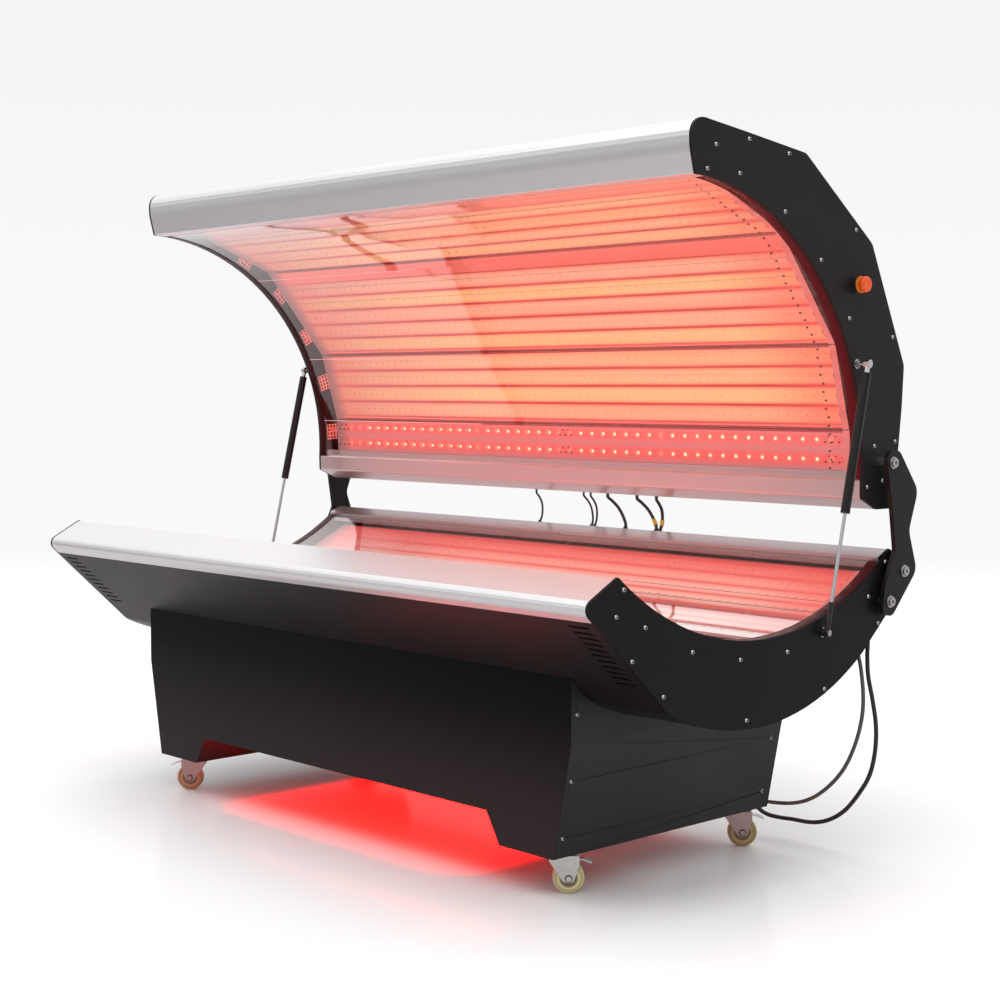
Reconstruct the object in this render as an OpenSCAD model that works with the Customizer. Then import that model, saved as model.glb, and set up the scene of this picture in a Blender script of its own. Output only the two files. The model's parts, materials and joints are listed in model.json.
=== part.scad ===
// Clamshell light bed: a trough on a wheeled plinth, with a hinged canopy held open by gas struts.
// X runs along the bed, Y from the front to the hinge side, Z up; the floor is Z = 0.

/* [Shells] */
// Length over the tub's end plates
tub_len = 2200; // [1900:10:2500]
// How far each canopy end plate lies inside the tub's end plate
canopy_inset = 19; // [14:1:40]
// Thickness of the four end plates
plate_t = 8; // [5:0.5:12]
// Width of the rim strip inside each end plate
rim_w = 28; // [18:1:45]
// Thickness of the rim strips
rim_t = 3; // [2:0.5:5]
// Thickness of the black sheet skins
skin_t = 2; // [1:0.25:3]
// Wall of the silver edge profiles
profile_t = 3; // [2:0.25:4]
// Radius of the tub's trough
trough_r = 770; // [760:1:780]
// Radius of the canopy's hollow
canopy_r = 655; // [650:1:665]

/* [Light lining] */
// Thickness of the clear acrylic
acrylic_t = 4; // [3:0.5:6]
// Gap between neighbouring acrylic strips
seam_gap = 1; // [0.5:0.25:3]
// Radius step from the acrylic's face to the corners of the LED boards
board_depth = 33; // [25:1:45]
// Thickness of an LED board
board_t = 2; // [1.5:0.25:4]
// Width of one LED row
row_w = 12; // [8:1:20]
// Height of the LEDs above their board
row_h = 1.5; // [1:0.25:3]
// Free length between a board's end and the inner end wall
board_end_gap = 22; // [10:1:40]
// Thickness of ribs and inner end walls
rib_t = 3; // [2:0.5:5]
// Number of ribs between the inner end walls of each shell
rib_count = 5; // [2:1:8]
// Side of a square vent in the canopy's inner end walls
vent_side = 50; // [30:1:60]
// Side of one perforation in a square vent
vent_hole = 8; // [4:0.5:9]

/* [Vent slots] */
// Number of vent slots near each end of the tub
slot_count = 11; // [5:1:12]
// Length of a vent slot
slot_len = 60; // [40:1:90]
// Height of a vent slot
slot_h = 6; // [4:0.5:9]
// Distance from slot to slot
slot_pitch = 20; // [15:0.5:22]

/* [Plinth] */
// Length of the plinth at its top
plinth_len = 1730; // [1650:10:1900]
// Length of the plinth at its foot
foot_len = 1624; // [1580:4:1640]
// Height of the bend in the end panels above the plinth's bottom edge
bend_h = 273; // [200:1:300]
// Thickness of the plinth's sheet
sheet_t = 2; // [1.5:0.25:3]
// Length of the arched tunnel at its roof
arch_len = 1174; // [1000:2:1200]
// Run of each slanted tunnel wall
arch_run = 44; // [20:1:60]
// Height of the tunnel's roof above the plinth's bottom edge
arch_h = 76; // [50:1:90]
// Side of the frame's square tube
tube = 30; // [25:1:40]

/* [Hinge arms] */
// Thickness of a hinge arm
arm_t = 12; // [8:0.5:16]
// Free space between a tub end plate and its hinge arm
arm_gap = 12; // [8:0.5:20]
// Shank radius of the arm bolts
bolt_r = 8; // [6:0.5:10]
// Head radius of the arm bolts
bolt_head_r = 11.5; // [11:0.5:14]
// Radial clearance of pivots and axles
fit = 0.05; // [0.02:0.01:0.1]

/* [Gas struts] */
// Distance between the ball centres with the canopy open
strut_len = 654; // [653:0.5:655]
// Outer radius of the strut's cylinder
cylinder_r = 11.5; // [10:0.5:12]
// Length of the strut's cylinder
cylinder_len = 343; // [335:1:350]
// Radius of the strut's rod
rod_r = 4.5; // [3:0.25:6]
// Distance from the tub's end plates to the struts' centre plane
strut_off = 15; // [13.5:0.5:16]

/* [Emergency stop] */
// Radius of the mushroom cap
cap_r = 19.5; // [15:0.5:25]
// Travel of the mushroom cap
cap_travel = 5; // [3:0.5:6]

/* [Casters] */
// Radius of a wheel
wheel_r = 37.5; // [34:0.5:40]
// Width of a wheel
wheel_w = 25; // [18:1:28]
// Height of the plinth's bottom edge above the wheels' axles
caster_drop = 68.5; // [66:0.5:80]
// Trail of a caster
trail = 28; // [25:0.5:30]
// Side of a caster's square top plate
caster_plate = 62; // [58:1:80]

/* [Cooling fans] */
// Side of a fan housing
fan_side = 120; // [90:1:140]
// Depth of a fan housing
fan_depth = 38; // [30:1:50]
// Distance of each fan from the bed's middle
fan_x = 450; // [400:5:500]

/* [Hidden] */

// Height of the plinth's bottom edge; all heights below are measured from this edge
ride_h = wheel_r + caster_drop;
gap = 0.3;
touch = 0.01;

// Lengths along the bed
tub_half = tub_len / 2;
canopy_half = tub_half - canopy_inset;
wall_in = plate_t + rim_w + rib_t;
rib_step = 2 * (canopy_half - wall_in) / (rib_count + 1);

// Trough and hollow: centres of their arcs, as [y, z]
trough_c = [5, 1269];
canopy_c = [-248, 882];
trough_from = 230.3;
trough_to = 309.3;
canopy_from = -2.6;
canopy_to = 84.9;

// Angles where the boards and the acrylic strips meet
tub_board_angles = [234, 251, 270, 289, 306];
tub_strip_angles = [230.6, 251, 270, 289, 306.2];
tub_rows = [4, 5, 5, 4];
canopy_board_angles = [-1.5, 7.4, 25.7, 54, 83];
canopy_strip_angles = [-2.4, 7.4, 25.7, 54, 72.2, 84.7];
canopy_rows = [2, 4, 5, 4];
// Bare strips beside each board's rows: at its first and at its second long edge
tub_bare = [[20, 20], [20, 20], [20, 20], [20, 20]];
canopy_bare = [[7, 0], [12, 3], [12, 51], [2, 94]];
row_end_gap = 20;

// Outlines of the shells as [y, z, corner radius], from the front corner round the outside
tub_outline = [
    [-486, 675.3, 4], [-592.5, 617, 21.6], [-323, 366, 60],
    [-300, 355.3, 0],
    each [for (p = arc([-20, 997], 700, 248, 306, 20)) [p[0], p[1], 0]],
    [500, 524, 30], [549, 586, 20], [553, 640, 10], [499, 678, 6]
];
canopy_outline = [
    [-226, 1537, 4], [-241, 1595, 120], [-244, 1666, 40], [-53, 1644, 60], [165, 1617, 30],
    [433, 1424, 30], [576, 1131, 30], [569, 1025, 20], [556, 915, 60], [534, 775.5, 14],
    [467, 775.5, 14], [407, 804, 6]
];
canopy_inner_corner = [406, 847];
// Where the tub's rear profile turns into the trough, and where the canopy's skin meets its rear profile
tub_inner_corner = [458, 658];
canopy_rear_seam = [500, canopy_outline[10][1]];
// Seams between the silver profiles and the black skins
front_seam = toward(tub_outline[1], tub_outline[2], 48.5);
skin_seam = toward(tub_outline[len(tub_outline) - 1], tub_outline[len(tub_outline) - 2], 25.6);
canopy_seam = toward(canopy_outline[2], canopy_outline[3], 125);

// Plinth: faces and walls
plinth_front = -385;
plinth_rear = 393;
panel_tilt = atan((plinth_len - foot_len) / 2 / bend_h);
saddle_x = foot_len / 2 - 112;
caster_x = foot_len / 2 - 74;
caster_y = [-300, 340];
rail_z = arch_h + sheet_t;

// Pivots, as [y, z]
pivot = [473, 892];
arm_mid = [527, 623];
arm_low = [469, 551];
strut_foot = [223.5, 495.5];
strut_rise = acos(0.2294);
strut_head = strut_foot + strut_len * [cos(strut_rise), sin(strut_rise)];
arm_in = tub_half + arm_gap;
arm_out = arm_in + arm_t;
washer_t = 2;
head_h = 6;
nut_t = 8;
spacer_r = 14;
pin_r = 5;
strut_x = tub_half + strut_off;
eye_r = 10;
eye_half = 7;
fitting_len = 73.5;
cylinder_end = strut_len - 23;
cylinder_start = cylinder_end - cylinder_len;
bore_r = cylinder_r - 2;
rod_end = cylinder_start + 38;
stop_at = [370, 1322];
collar_r = 15;
collar_h = 15;
stem_r = 7;
cap_h = 12;

arm_outline = [
    [444, 920, 24], [500, 922, 26], [582.5, 821, 36], [546, 722, 40], [582, 622, 34],
    [478, 512, 24], [436, 526, 20], [446, 584, 24], [490, 676, 24], [474, 780, 60], [456, 860, 60]
];

// Screws in the end plates and end panels
screw_r = 3;
screw_head_r = 5.4;
screw_head_h = 3;
boss_r = 6;
tub_screws = [
    [-468, 648], [-491, 592], [-400, 562], [-441, 493], [-245, 494], [-340, 406], [-79, 460],
    [93, 461], [-55, 319], [238, 358], [455, 497], [412, 566], [481, 647]
];
canopy_screws_at = [
    [-159, 1606], [-44, 1629], [101, 1610], [-188, 1551], [-76, 1550], [89, 1477], [366, 1453],
    [228, 1374], [344, 1241], [526, 1200], [455, 932], [543, 942], [491, 846], [428, 832]
];
panel_screws = [[-364, 339], [-364, 184], [-364, 48], [360, 339], [360, 188], [360, 46]];
vent_angles = [4, 18, 32, 46, 60.5];

// Casters: heading from the kingpin to the wheel
caster_at = [
    [caster_x, caster_y[0], 46], [-caster_x, caster_y[0], 226],
    [caster_x, caster_y[1], 43], [-caster_x, caster_y[1], 200]
];
race_r = 19;
race_h = 12;
kingpin_r = 6;
fork_top = caster_drop - 3 - race_h - gap;
fork_t = 2.5;
fork_gap = wheel_w / 2 + 2;
axle_r = 4;
brake_at = [44, 80 - 37.5];

// Cable glands: places on the rear panel as [x, z], the last one for the mains lead
rear_glands = [[660, 24], [708, 24], [-660, 50]];
gland_hole_r = 6.5;
mains_r = 5;
mains_len = 32;

// Free cables: routes as [x, y, z], chosen by eye along the bed's rear
grey_d = 10;
black_d = 11;
grey_route = [
    [990, 478, 470], [1000, 486, 448], [1016, 486, 416], [1030, 484, 376], [1040, 482, 310],
    [1039, 480, 252], [1022, 480, 186], [990, 480, 118], [945, 480, 64], [889, 480, 21],
    [826, 480, -3], [745, 481, -13], [705, 478, -10], [678, 464, 2], [664, 447, 16],
    [660, 431, 23], [660, 415, 24]
];
black_route = [
    [1036, 497, 462], [1036, 504, 440], [1036, 503, 404], [1041, 501, 354], [1056, 500, 294],
    [1067, 500, 232], [1066, 500, 169], [1052, 500, 108], [1023, 500, 57], [978, 500, 2],
    [928, 500, -32], [875, 500, -48], [812, 500, -51], [775, 495, -52], [745, 480, -46],
    [724, 464, -28], [712, 452, -4], [708, 441, 16], [708, 428, 23], [708, 415, 24]
];
// Thin cables: x at the tub, x at the canopy, diameter
link_cables = [
    [-160, -160, 6], [54, 36, 6], [66, 64, 6], [188, 132, 9], [305, 245, 9], [318, 318, 9]
];
link_route = [[530, 677], [537, 691], [539.5, 712], [536, 733], [525, 750], [514, 762], [514, 771]];

// Plain geometry helpers
function unit(v) = v / norm(v);
function ring(c, r, a) = [c[0] + r * cos(a), c[1] + r * sin(a)];
function arc(c, r, a0, a1, n) = [for (i = [0 : n]) ring(c, r, a0 + (a1 - a0) * i / n)];
function flat(p) = [p[0], p[1]];
function radius_of(p) = len(p) > 2 ? p[2] : 0;
function toward(a, b, d) = flat(a) + unit(flat(b) - flat(a)) * d;

// Points of a rounded corner at b, between neighbours a and c
function corner(a, b, c, r, n) =
    let (
        u = unit(flat(a) - flat(b)),
        v = unit(flat(c) - flat(b)),
        half = acos(u * v) / 2,
        mid = flat(b) + unit(u + v) * r / sin(half),
        p = flat(b) + u * r / tan(half) - mid,
        q = flat(b) + v * r / tan(half) - mid,
        a0 = atan2(p[1], p[0]),
        sweep = atan2(q[1], q[0]) - a0,
        turn = sweep > 180 ? sweep - 360 : sweep < -180 ? sweep + 360 : sweep
    )
    [for (i = [0 : n]) ring(mid, r, a0 + turn * i / n)];

// Closed outline with its corners rounded
function rounded(pts, n = 6) = [
    for (i = [0 : len(pts) - 1])
        let (a = pts[(i + len(pts) - 1) % len(pts)], c = pts[(i + 1) % len(pts)])
        each radius_of(pts[i]) > 0 ? corner(a, pts[i], c, pts[i][2], n) : [flat(pts[i])]
];

// Open path with its inner corners rounded
function bent(pts, n = 6) = [
    for (i = [0 : len(pts) - 1])
        each i > 0 && i < len(pts) - 1 && radius_of(pts[i]) > 0
            ? corner(pts[i - 1], pts[i], pts[i + 1], pts[i][2], n) : [flat(pts[i])]
];

// A path moved sideways by d, to the left of its direction of travel
function beside(p, d) = [
    for (i = [0 : len(p) - 1])
        let (
            s = unit(p[min(i + 1, len(p) - 1)] - p[min(i, len(p) - 2)]),
            t = i > 0 ? unit(p[i] - p[i - 1]) : s,
            m = [-t[1] - s[1], t[0] + s[0]]
        )
        p[i] + m * 2 * d / (m * m)
];

// A closed outline moved inwards by d; the outlines here run anticlockwise or clockwise
function inset(p, d) =
    let (n = len(p))
    [for (i = [0 : n - 1])
        let (
            t = unit(p[i] - p[(i + n - 1) % n]),
            s = unit(p[(i + 1) % n] - p[i]),
            m = [-t[1] - s[1], t[0] + s[0]]
        )
        p[i] + m * 2 * d / (m * m)];

// Places a profile drawn as [y, z] so that it runs along X, centred on x
module along_x(length, x = 0) {
    translate([x - length / 2, 0, 0])
        rotate([90, 0, 90])
            linear_extrude(length)
                children();
}

module on_casters() {
    translate([0, 0, ride_h])
        children();
}

// Copies a piece to the far end of the bed
module both_ends() {
    children();
    mirror([1, 0, 0])
        children();
}

module left_end() {
    mirror([1, 0, 0])
        children();
}

// Sheet bent along a path, t thick to the left of the path
module sheet(path, t) {
    polygon(concat(path, [for (i = [len(path) - 1 : -1 : 0]) beside(path, t)[i]]));
}

// Part of a round sheet between two angles
module round_sheet(c, r, t, a0, a1) {
    difference() {
        intersection() {
            translate(c)
                circle(r + t, $fn = 240);
            polygon(concat([c], arc(c, 1.2 * r, a0, a1, 8)));
        }
        translate(c)
            circle(r, $fn = 240);
    }
}

// Cylinder along X from x0 to x1 at p = [y, z]
module rod_x(p, r, x0, x1, sides = 48) {
    translate([x0, p[0], p[1]])
        rotate([0, 90, 0])
            cylinder(r = r, h = x1 - x0, $fn = sides);
}

// Outlines of the shells as flat shapes
module tub_shape() {
    polygon(rounded(tub_outline));
}

module tub_wall_shape(edge, r) {
    difference() {
        polygon(inset(rounded(tub_outline), edge));
        translate(trough_c)
            circle(r, $fn = 240);
    }
}

module canopy_wall_shape(edge, r) {
    difference() {
        polygon(inset(canopy_closed(), -edge));
        translate(canopy_c)
            circle(r, $fn = 240);
    }
}

// The canopy's outline, closed across its hollow
function canopy_closed() = rounded(concat(canopy_outline, [canopy_inner_corner, [300, 870], [-200, 1400]]));

// Drops a rib's inner edge behind the back faces of the flat boards
module board_fan(c, r, angles) {
    last = len(angles) - 1;
    polygon(concat([c], [
        ring(c, r, angles[0] - 25),
        each [for (a = angles) ring(c, r, a)],
        ring(c, r, angles[last] + 25)
    ]));
}

// Boards: flat sheets between neighbouring angles, with their LED rows
module boards(c, r, angles, rows, bare, length) {
    for (i = [0 : len(rows) - 1]) {
        p = ring(c, r, angles[i]);
        q = ring(c, r, angles[i + 1]);
        step = unit(q - p);
        out = [step[1], -step[0]];
        span = norm(q - p) - bare[i][0] - bare[i][1];
        color("mistyrose")
            along_x(length)
                sheet([q - step, p + step], board_t);
        for (k = [0 : rows[i] - 1])
            color("orangered")
                along_x(length - 2 * row_end_gap)
                    led_row(p + step * (bare[i][0] + span * (k + 0.5) / rows[i]), step, out);
    }
}

// Section of one LED row, rooted halfway into its board
module led_row(mid, step, out) {
    root = mid + out * board_t / 2;
    sheet([root - step * row_w / 2, root + step * row_w / 2], row_h + board_t / 2);
}

// Strips of acrylic between neighbouring angles
module strips(c, r, angles, length) {
    cut = seam_gap / 2 / r * 180 / PI;
    for (i = [0 : len(angles) - 2])
        along_x(length)
            round_sheet(c, r, acrylic_t, angles[i] + cut, angles[i + 1] - cut);
}

// Button-head screw at p = [y, z] in the plate whose outer face is at x, nut at depth
module plate_screw(x, p, depth) {
    difference() {
        union() {
            translate([x, p[0], p[1]])
                rotate([0, 90, 0])
                    cylinder(r1 = screw_head_r, r2 = screw_head_r - 1.6, h = screw_head_h, $fn = 32);
            rod_x(p, screw_r, x - depth - 8, x + 1, 24);
            rod_x(p, screw_head_r, x - depth - 5, x - depth, 6);
        }
        translate([x + 1.2, p[0], p[1]])
            rotate([0, 90, 0])
                cylinder(r = 2.2, h = screw_head_h, $fn = 6);
    }
}

module plate_screws(half, points) {
    for (p = points)
        plate_screw(half, p, wall_in);
}

module screw_holes(half, points) {
    for (p = points)
        rod_x(p, screw_r + fit, half - wall_in - 1, half + 1, 24);
}

// Inner end wall with bosses that reach the end plate
module end_wall(half, points) {
    difference() {
        union() {
            along_x(rib_t, half - wall_in + rib_t / 2)
                children();
            for (p = points)
                rod_x(p, boss_r, half - wall_in + rib_t / 2, half - plate_t, 24);
        }
        screw_holes(half, points);
    }
}

// Tub
module tub_end_plate() {
    color("#26262a")
        difference() {
            union() {
                along_x(plate_t, tub_half - plate_t / 2)
                    tub_wall_shape(0, trough_r);
                along_x(rim_w + touch, tub_half - plate_t - rim_w / 2)
                    round_sheet(trough_c, trough_r, rim_t, trough_from + 0.6, trough_to - 3.2);
            }
            screw_holes(tub_half, tub_screws);
            for (p = [arm_mid, arm_low])
                rod_x(p, bolt_r + fit, tub_half - 40, tub_half + 1);
        }
}

// The lip under the acrylic lies this far out from the trough's centre
tub_lip_r = trough_r + acrylic_t + gap;
tub_inner_len = tub_len - 2 * plate_t;

tub_last = tub_strip_angles[len(tub_strip_angles) - 1] + 0.1;
tub_front_path = bent([
    ring(trough_c, tub_lip_r, trough_from + 1.4), ring(trough_c, tub_lip_r, trough_from),
    tub_outline[1], front_seam
]);
tub_rear_path = bent([
    skin_seam, tub_outline[len(tub_outline) - 1], tub_inner_corner,
    ring(trough_c, tub_lip_r, tub_last), ring(trough_c, tub_lip_r, tub_last - 1.4)
]);

// Room that a profile takes from the ribs and end walls behind it
module profile_slots(paths) {
    for (path = paths)
        sheet(beside(path, -0.5), profile_t + 0.5);
}

module tub_front_profile() {
    color("silver")
        along_x(tub_inner_len)
            sheet(tub_front_path, profile_t);
}

module tub_rear_profile() {
    color("silver")
        along_x(tub_inner_len)
            sheet(tub_rear_path, profile_t);
}

// Outline of the black skin: the tub's outline between the two silver profiles
skin_path = concat(
    [front_seam],
    bent([tub_outline[1], each [for (i = [2 : len(tub_outline) - 2]) tub_outline[i]], skin_seam])
);

function from_second(p) = [for (i = [0 : len(p) - 1]) if (i != 1) p[i]];

module vent_slots() {
    slope = atan2(tub_outline[2][1] - tub_outline[1][1], tub_outline[2][0] - tub_outline[1][0]);
    for (k = [0 : slot_count - 1])
        translate([
            tub_half - plate_t - 22 - slot_len,
            front_seam[0] + (22 + k * slot_pitch) * cos(slope),
            front_seam[1] + (22 + k * slot_pitch) * sin(slope)
        ])
            rotate([slope, 0, 0])
                translate([0, -slot_h / 2, -8])
                    cube([slot_len, slot_h, 16]);
}

module tub_lower_skin() {
    color("#26262a")
        difference() {
            along_x(tub_inner_len)
                sheet(from_second(skin_path), skin_t);
            both_ends()
                vent_slots();
        }
}

module tub_acrylic() {
    color("#f6c8c0", 0.5)
        strips(trough_c, trough_r, tub_strip_angles, tub_inner_len - 2 * rim_w - 2 * gap);
}

board_half_gap = plate_t + rim_w + rib_t + board_end_gap;

module tub_led_boards() {
    boards(trough_c, trough_r + board_depth, tub_board_angles, tub_rows, tub_bare,
        tub_len - 2 * board_half_gap);
}

module tub_rib_shape() {
    difference() {
        tub_wall_shape(profile_t, tub_lip_r);
        profile_slots([tub_front_path, tub_rear_path]);
    }
}

module tub_ribs() {
    color("#77706e") {
        both_ends()
            difference() {
                end_wall(tub_half, tub_screws)
                    tub_rib_shape();
                along_x(tub_len)
                    profile_slots([tub_front_path, tub_rear_path]);
            }
        for (i = [0 : rib_count - 1])
            along_x(rib_t, (i - (rib_count - 1) / 2) * rib_step)
                difference() {
                    tub_rib_shape();
                    board_fan(trough_c, trough_r + board_depth + board_t + gap, tub_board_angles);
                }
    }
}

// Plinth
module tub_solid() {
    along_x(tub_len)
        tub_shape();
}

// Profile of the plinth seen from the front, with the arch cut away
module plinth_face() {
    polygon([
        [-plinth_len / 2, 470], [-plinth_len / 2, bend_h], [-foot_len / 2, 0],
        [-arch_len / 2 - arch_run, 0], [-arch_len / 2, arch_h],
        [arch_len / 2, arch_h], [arch_len / 2 + arch_run, 0],
        [foot_len / 2, 0], [plinth_len / 2, bend_h], [plinth_len / 2, 470]
    ]);
}

module panel_at(y) {
    translate([0, y + sheet_t, 0])
        rotate([90, 0, 0])
            linear_extrude(sheet_t)
                children();
}

module plinth_front_panel() {
    color("#26262a")
        difference() {
            panel_at(plinth_front)
                plinth_face();
            tub_solid();
        }
}

module plinth_rear_panel() {
    color("#26262a")
        difference() {
            panel_at(plinth_rear - sheet_t)
                plinth_face();
            tub_solid();
            for (s = [-1, 1])
                translate([s * fan_x, plinth_rear, fan_z])
                    rotate([90, 0, 0])
                        fan_grille();
            for (g = rear_glands)
                translate([g[0], plinth_rear, g[1]])
                    rotate([90, 0, 0])
                        cylinder(r = gland_hole_r, h = 20, center = true, $fn = 32);
        }
}

fan_z = 200;

// Rings of slots in front of a fan
module fan_grille() {
    for (r = [20 : 10 : fan_side / 2 - 8])
        difference() {
            cylinder(r = r + 3, h = 10, center = true, $fn = 64);
            cylinder(r = r - 3, h = 12, center = true, $fn = 64);
            for (a = [0, 60, 120])
                rotate([0, 0, a])
                    cube([2 * fan_side, 8, 14], center = true);
        }
}

module plinth_end_panel() {
    depth = plinth_rear - plinth_front - 2 * sheet_t;
    path = [[plinth_len / 2, 470], [plinth_len / 2, bend_h], [foot_len / 2, 0]];
    color("#26262a")
        difference() {
            translate([0, plinth_rear - sheet_t, 0])
                rotate([90, 0, 0])
                    linear_extrude(depth)
                        sheet(path, -sheet_t);
            tub_solid();
            for (s = panel_screws)
                on_end_panel(s)
                    cylinder(r = screw_r + fit, h = 20, center = true, $fn = 24);
        }
}

// Puts a piece on the outer face of the right end panel, its Z pointing outwards
module on_end_panel(s) {
    x = s[1] > bend_h ? plinth_len / 2 : foot_len / 2 + (plinth_len - foot_len) / 2 * s[1] / bend_h;
    translate([x, s[0], s[1]])
        rotate([0, s[1] > bend_h ? 90 : 90 + panel_tilt, 0])
            children();
}

module plinth_floor_pan() {
    depth = plinth_rear - plinth_front - 2 * sheet_t;
    path = [
        [-foot_len / 2 + 2 * sheet_t, 0], [-arch_len / 2 - arch_run, 0], [-arch_len / 2, arch_h],
        [arch_len / 2, arch_h], [arch_len / 2 + arch_run, 0], [foot_len / 2 - 2 * sheet_t, 0]
    ];
    color("#2c2c30")
        translate([0, plinth_rear - sheet_t, 0])
            rotate([90, 0, 0])
                linear_extrude(depth)
                    sheet(path, sheet_t);
}

// Square tube from corner a, size s
module tube_box(a, s) {
    wall = 2;
    axis = s[0] > s[1] ? (s[0] > s[2] ? 0 : 2) : (s[1] > s[2] ? 1 : 2);
    hollow = [for (i = [0 : 2]) i == axis ? s[i] + 2 : s[i] - 2 * wall];
    difference() {
        translate(a)
            cube(s);
        translate(a + [for (i = [0 : 2]) i == axis ? -1 : wall])
            cube(hollow);
    }
}

module plinth_frame() {
    y0 = plinth_front + sheet_t;
    y1 = plinth_rear - sheet_t;
    beam_z = rail_z;
    color("#4a4a4e") {
        both_ends() {
            // Cross beam over the casters and its four posts
            tube_box([caster_x - tube, y0, sheet_t], [2 * tube, y1 - y0, tube]);
            for (y = [y0 + tube, y1 - 2 * tube])
                tube_box([caster_x - tube / 2, y, sheet_t + tube], [tube, tube, beam_z - sheet_t - tube]);
            // Saddle that carries the tub
            difference() {
                translate([saddle_x - rib_t, y0 + tube, beam_z + tube])
                    cube([2 * rib_t, y1 - y0 - 2 * tube, 470 - beam_z - tube]);
                tub_solid();
                translate([saddle_x - 20, -140, beam_z + tube + 40])
                    cube([40, 280, 80]);
            }
        }
        // Long rails over the posts
        for (y = [y0 + tube, y1 - 2 * tube])
            tube_box([-caster_x - tube, y, beam_z], [2 * (caster_x + tube), tube, tube]);
        // Cross members between the rails
        for (x = [-saddle_x, 0, saddle_x])
            tube_box([x - tube / 2, y0 + 2 * tube, beam_z], [tube, y1 - y0 - 4 * tube, tube]);
    }
}

module underglow_strip() {
    color("silver")
        translate([-arch_len / 2 + 20, -260, arch_h - 8])
            cube([arch_len - 40, 16, 8]);
    color("red")
        translate([-arch_len / 2 + 20, -257, arch_h - 10])
            cube([arch_len - 40, 10, 2]);
}

module base_screws() {
    color("gainsboro")
        both_ends() {
            plate_screws(tub_half, tub_screws);
            for (s = panel_screws)
                on_end_panel(s)
                    difference() {
                        union() {
                            cylinder(r1 = screw_head_r, r2 = screw_head_r - 1.6, h = screw_head_h, $fn = 32);
                            translate([0, 0, -sheet_t - 8])
                                cylinder(r = screw_r, h = sheet_t + 9, $fn = 24);
                            translate([0, 0, -sheet_t - 4])
                                cylinder(r = screw_head_r, h = 4, $fn = 6);
                        }
                        translate([0, 0, 1.2])
                            cylinder(r = 2.2, h = screw_head_h, $fn = 6);
                    }
        }
}

// Hinge arms and their bolts
module hinge_arm() {
    color("#232327")
        difference() {
            along_x(arm_t, arm_in + arm_t / 2)
                polygon(rounded(arm_outline, 8));
            for (p = [pivot, arm_mid, arm_low])
                rod_x(p, bolt_r + fit, arm_in - 1, arm_out + 1);
        }
}

// Bolt with washer, head, spacer and nut; the plate lies between spacer and nut
module arm_bolt(p, plate_out, slack) {
    color("gainsboro")
        difference() {
            union() {
                rod_x(p, spacer_r + 1, arm_out, arm_out + washer_t);
                rod_x(p, bolt_head_r, arm_out + washer_t - touch, arm_out + washer_t + head_h);
                rod_x(p, bolt_r, plate_out - plate_t - slack - nut_t, arm_out + washer_t);
                rod_x(p, spacer_r, plate_out - plate_t - slack - nut_t, plate_out - plate_t - slack, 6);
            }
            rod_x(p, 5, arm_out + washer_t + head_h - 4, arm_out + washer_t + head_h + 1, 6);
        }
    color("dimgray")
        difference() {
            rod_x(p, spacer_r, plate_out + slack, arm_in);
            rod_x(p, bolt_r + fit, plate_out - 1, arm_in + 1);
        }
}

module arm_bolts() {
    both_ends() {
        arm_bolt(pivot, canopy_half, gap);
        arm_bolt(arm_mid, tub_half, 0);
        arm_bolt(arm_low, tub_half, 0);
    }
}

// Pieces inside the plinth
module power_supplies() {
    color("darkgray")
        for (x = [-470, -160, 160])
            translate([x - 120, -240, rail_z])
                cube([240, 125, 65]);
}

module control_box() {
    color("#c8c8cc")
        translate([230, 60, rail_z])
            cube([300, 200, 110]);
}

module fan_housings() {
    color("#303034")
        for (s = [-1, 1])
            translate([s * fan_x, plinth_rear - sheet_t, fan_z])
                rotate([90, 0, 0]) {
                    difference() {
                        translate([-fan_side / 2, -fan_side / 2, 0])
                            cube([fan_side, fan_side, fan_depth]);
                        translate([0, 0, -1])
                            cylinder(r = fan_side / 2 - 4, h = fan_depth + 2, $fn = 64);
                    }
                    // Motor seat on its three struts, with the shaft that the impeller turns on
                    translate([0, 0, fan_depth - 6])
                        cylinder(r = 20, h = 5, $fn = 48);
                    for (a = [0, 120, 240])
                        rotate([0, 0, a])
                            translate([10, -3, fan_depth - 5.5])
                                cube([fan_side / 2 - 12, 6, 4]);
                    translate([0, 0, 6])
                        cylinder(r = 3, h = fan_depth - 8, $fn = 32);
                }
}

module fan_impeller(side) {
    blade_r = fan_side / 2 - 7;
    color("#505054")
        translate([side * fan_x, plinth_rear - sheet_t, fan_z])
            rotate([90, 0, 0])
                difference() {
                    union() {
                        translate([0, 0, 7])
                            cylinder(r = 18, h = fan_depth - 14, $fn = 48);
                        for (a = [0 : 360 / 7 : 359])
                            rotate([0, 0, a])
                                translate([15, 0, fan_depth / 2 - 1])
                                    rotate([35, 0, 0])
                                        translate([0, -11, -0.75])
                                            cube([blade_r - 15, 22, 1.5]);
                    }
                    translate([0, 0, 5])
                        cylinder(r = 3 + fit, h = fan_depth, $fn = 32);
                }
}

// Gas struts
module strut_lower_stud() {
    color("#2a2a2e") {
        rod_x(strut_foot, 12, tub_half, tub_half + 4);
        rod_x(strut_foot, pin_r, tub_half + 3, strut_x + eye_half + 1);
        rod_x(strut_foot, pin_r + 2.5, strut_x + eye_half + gap, strut_x + eye_half + 2);
    }
}

module strut_lower_studs() {
    both_ends()
        strut_lower_stud();
}

module strut_upper_stud() {
    tip = strut_x - eye_half - 0.5;
    color("gainsboro") {
        rod_x(strut_head, 12, canopy_half, canopy_half + 3);
        rod_x(strut_head, 8, canopy_half + 2, canopy_half + 9, 6);
        rod_x(strut_head, pin_r, canopy_half + 2, tip);
    }
}

module strut_upper_studs() {
    both_ends()
        strut_upper_stud();
}

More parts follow.
